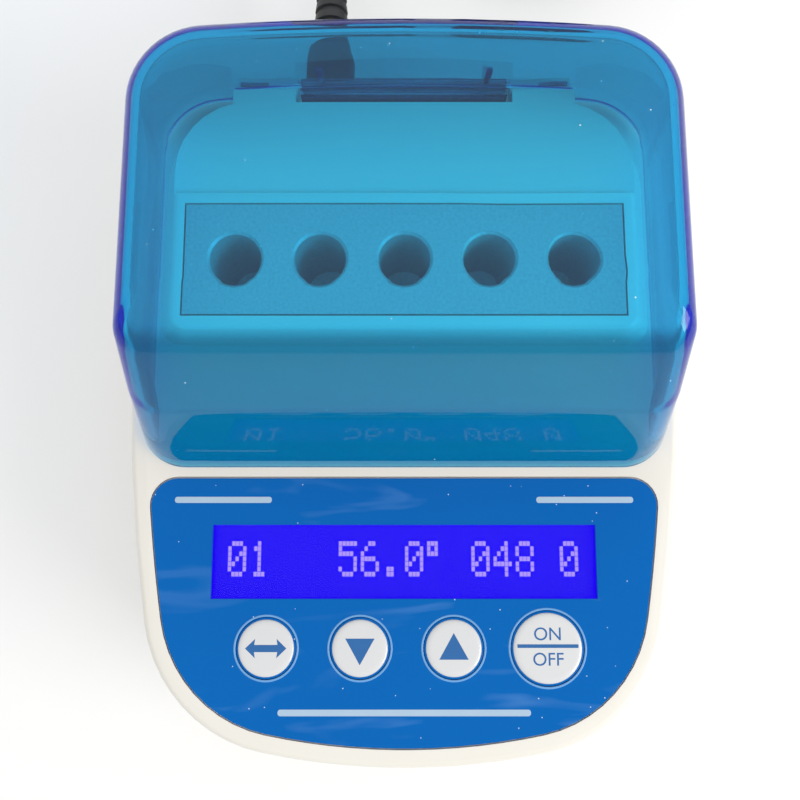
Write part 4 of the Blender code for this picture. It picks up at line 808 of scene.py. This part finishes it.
# Painted shade: where the lid is steep its colour is darkened to a deep teal, standing in for the
# shade seen through its walls.
lid_facing = lid_tree.nodes.new("ShaderNodeTexCoord")
lid_axes = lid_tree.nodes.new("ShaderNodeSeparateXYZ")
lid_upright = lid_tree.nodes.new("ShaderNodeMath")
lid_upright.operation = "ABSOLUTE"
lid_steep_shade_share = lid_tree.nodes.new("ShaderNodeMapRange")
lid_steep_shade_share.interpolation_type = "SMOOTHSTEP"
lid_steep_shade_share.inputs["From Min"].default_value = 0.70
lid_steep_shade_share.inputs["From Max"].default_value = 0.88
lid_wall_painted_shade = lid_tree.nodes.new("ShaderNodeMix")
lid_wall_painted_shade.data_type = "RGBA"
lid_wall_painted_shade.inputs["A"].default_value = (0.10, 0.44, 0.50, 1.0)
lid_wall_painted_shade.inputs["B"].default_value = (0.97, 0.99, 1.0, 1.0)
link(lid_tree, lid_facing, "Normal", lid_axes, "Vector")
link(lid_tree, lid_axes, "Z", lid_upright, 0)
link(lid_tree, lid_upright, 0, lid_steep_shade_share, "Value")
link(lid_tree, lid_steep_shade_share, 0, lid_wall_painted_shade, "Factor")
lid_tree.links.new(lid_wall_painted_shade.outputs["Result"], lid_shader.inputs["Base Color"])
lid_depth = lid_tree.nodes.new("ShaderNodeVolumeAbsorption")
lid_depth.inputs["Color"].default_value = (0.0, 0.86, 0.99, 1.0)
lid_depth.inputs["Density"].default_value = 800.0
link(lid_tree, lid_depth, 0, lid_tree.nodes["Material Output"], "Volume")
lid_shade = lid_tree.nodes.new("ShaderNodeMapRange")
lid_shade.inputs["From Min"].default_value = -0.85
lid_shade.inputs["From Max"].default_value = -0.15
lid_shade.inputs["To Min"].default_value = 0.32
lid_shade.inputs["To Max"].default_value = 1.0
link(lid_tree, lid_axes, "Y", lid_shade, "Value")
link(lid_tree, lid_shade, 0, lid_tree.nodes["Transparent BSDF"], "Color")
lid_haze = lid_tree.nodes.new("ShaderNodeBsdfTranslucent")
lid_haze.inputs["Color"].default_value = (0.0, 0.16, 0.80, 1.0)
lid_hazy = lid_tree.nodes.new("ShaderNodeMixShader")
lid_hazy.inputs[0].default_value = 0.03
lid_clear = lid_tree.nodes["Material Output"].inputs["Surface"].links[0].from_node
link(lid_tree, lid_clear, 0, lid_hazy, 1)
link(lid_tree, lid_haze, 0, lid_hazy, 2)
link(lid_tree, lid_hazy, 0, lid_tree.nodes["Material Output"], "Surface")
specks(lid_tree, 2.6 * mm, 0.12 * mm, 0.30, (0.70, 0.82, 0.88))
lid_mesh.materials.append(lid_blue)

barrel_half, barrel_round, barrel_bore, barrel_edge = 18.75 * mm, 1.75 * mm, 1.05 * mm, 0.2 * mm
barrel_bm = bmesh.new()
barrel_profile = [
    (barrel_bore, -barrel_half), (barrel_round - barrel_edge, -barrel_half),
    (barrel_round, -barrel_half + barrel_edge), (barrel_round, barrel_half - barrel_edge),
    (barrel_round - barrel_edge, barrel_half), (barrel_bore, barrel_half),
]
corners = [barrel_bm.verts.new((radius, 0.0, along)) for radius, along in barrel_profile]
outline = [barrel_bm.edges.new((corners[i - 1], corners[i])) for i in range(len(corners))]
bmesh.ops.spin(barrel_bm, geom=corners + outline, cent=(0, 0, 0), axis=(0, 0, 1), angle=2 * pi,
               steps=40, use_merge=True)
bmesh.ops.remove_doubles(barrel_bm, verts=barrel_bm.verts, dist=0.000001)
bmesh.ops.rotate(barrel_bm, verts=barrel_bm.verts, cent=(0, 0, 0),
                 matrix=Matrix.Rotation(pi / 2, 3, "Y"))
bmesh.ops.translate(barrel_bm, verts=barrel_bm.verts, vec=(0.0, hinge_y, hinge_z))
tab_x, tab_width = 14.8 * mm, 1.1 * mm
wall_y = lid_rear - (hinge_z - lid_rim) * tan(side_lean)
tab_outline = [
    (wall_y - 1.0 * mm, hinge_z + 1.35 * mm), (hinge_y + 1.45 * mm, hinge_z + 0.3 * mm),
    (hinge_y + 2.9 * mm, hinge_z + 2.6 * mm), (wall_y - 1.0 * mm, hinge_z + 8.0 * mm),
    (wall_y - 2.0 * mm, hinge_z + 8.0 * mm),
]
for side in (-1, 1):
    left_x = side * tab_x - tab_width / 2
    face = barrel_bm.faces.new([barrel_bm.verts.new((left_x, y, z)) for y, z in tab_outline])
    lifted = bmesh.ops.extrude_face_region(barrel_bm, geom=[face], use_keep_orig=True)
    far_side = [item for item in lifted["geom"] if isinstance(item, bmesh.types.BMVert)]
    bmesh.ops.translate(barrel_bm, vec=(tab_width, 0.0, 0.0), verts=far_side)
rib_size, rib_middle = (2.6 * mm, 2.5 * mm), (hinge_y - 1.6 * mm, hinge_z - 0.5 * mm)
rib = bmesh.ops.create_cube(barrel_bm, size=1.0)["verts"]
bmesh.ops.scale(barrel_bm, vec=(2 * barrel_half, *rib_size), verts=rib)
bmesh.ops.translate(barrel_bm, vec=(0.0, *rib_middle), verts=rib)
bmesh.ops.recalc_face_normals(barrel_bm, faces=barrel_bm.faces)
barrel = add_piece("lid_barrel", barrel_bm, "lid", lid_blue)
barrel.data.polygons.foreach_set("use_smooth", [True] * len(barrel.data.polygons))
barrel.data.set_sharp_from_angle(angle=radians(35))
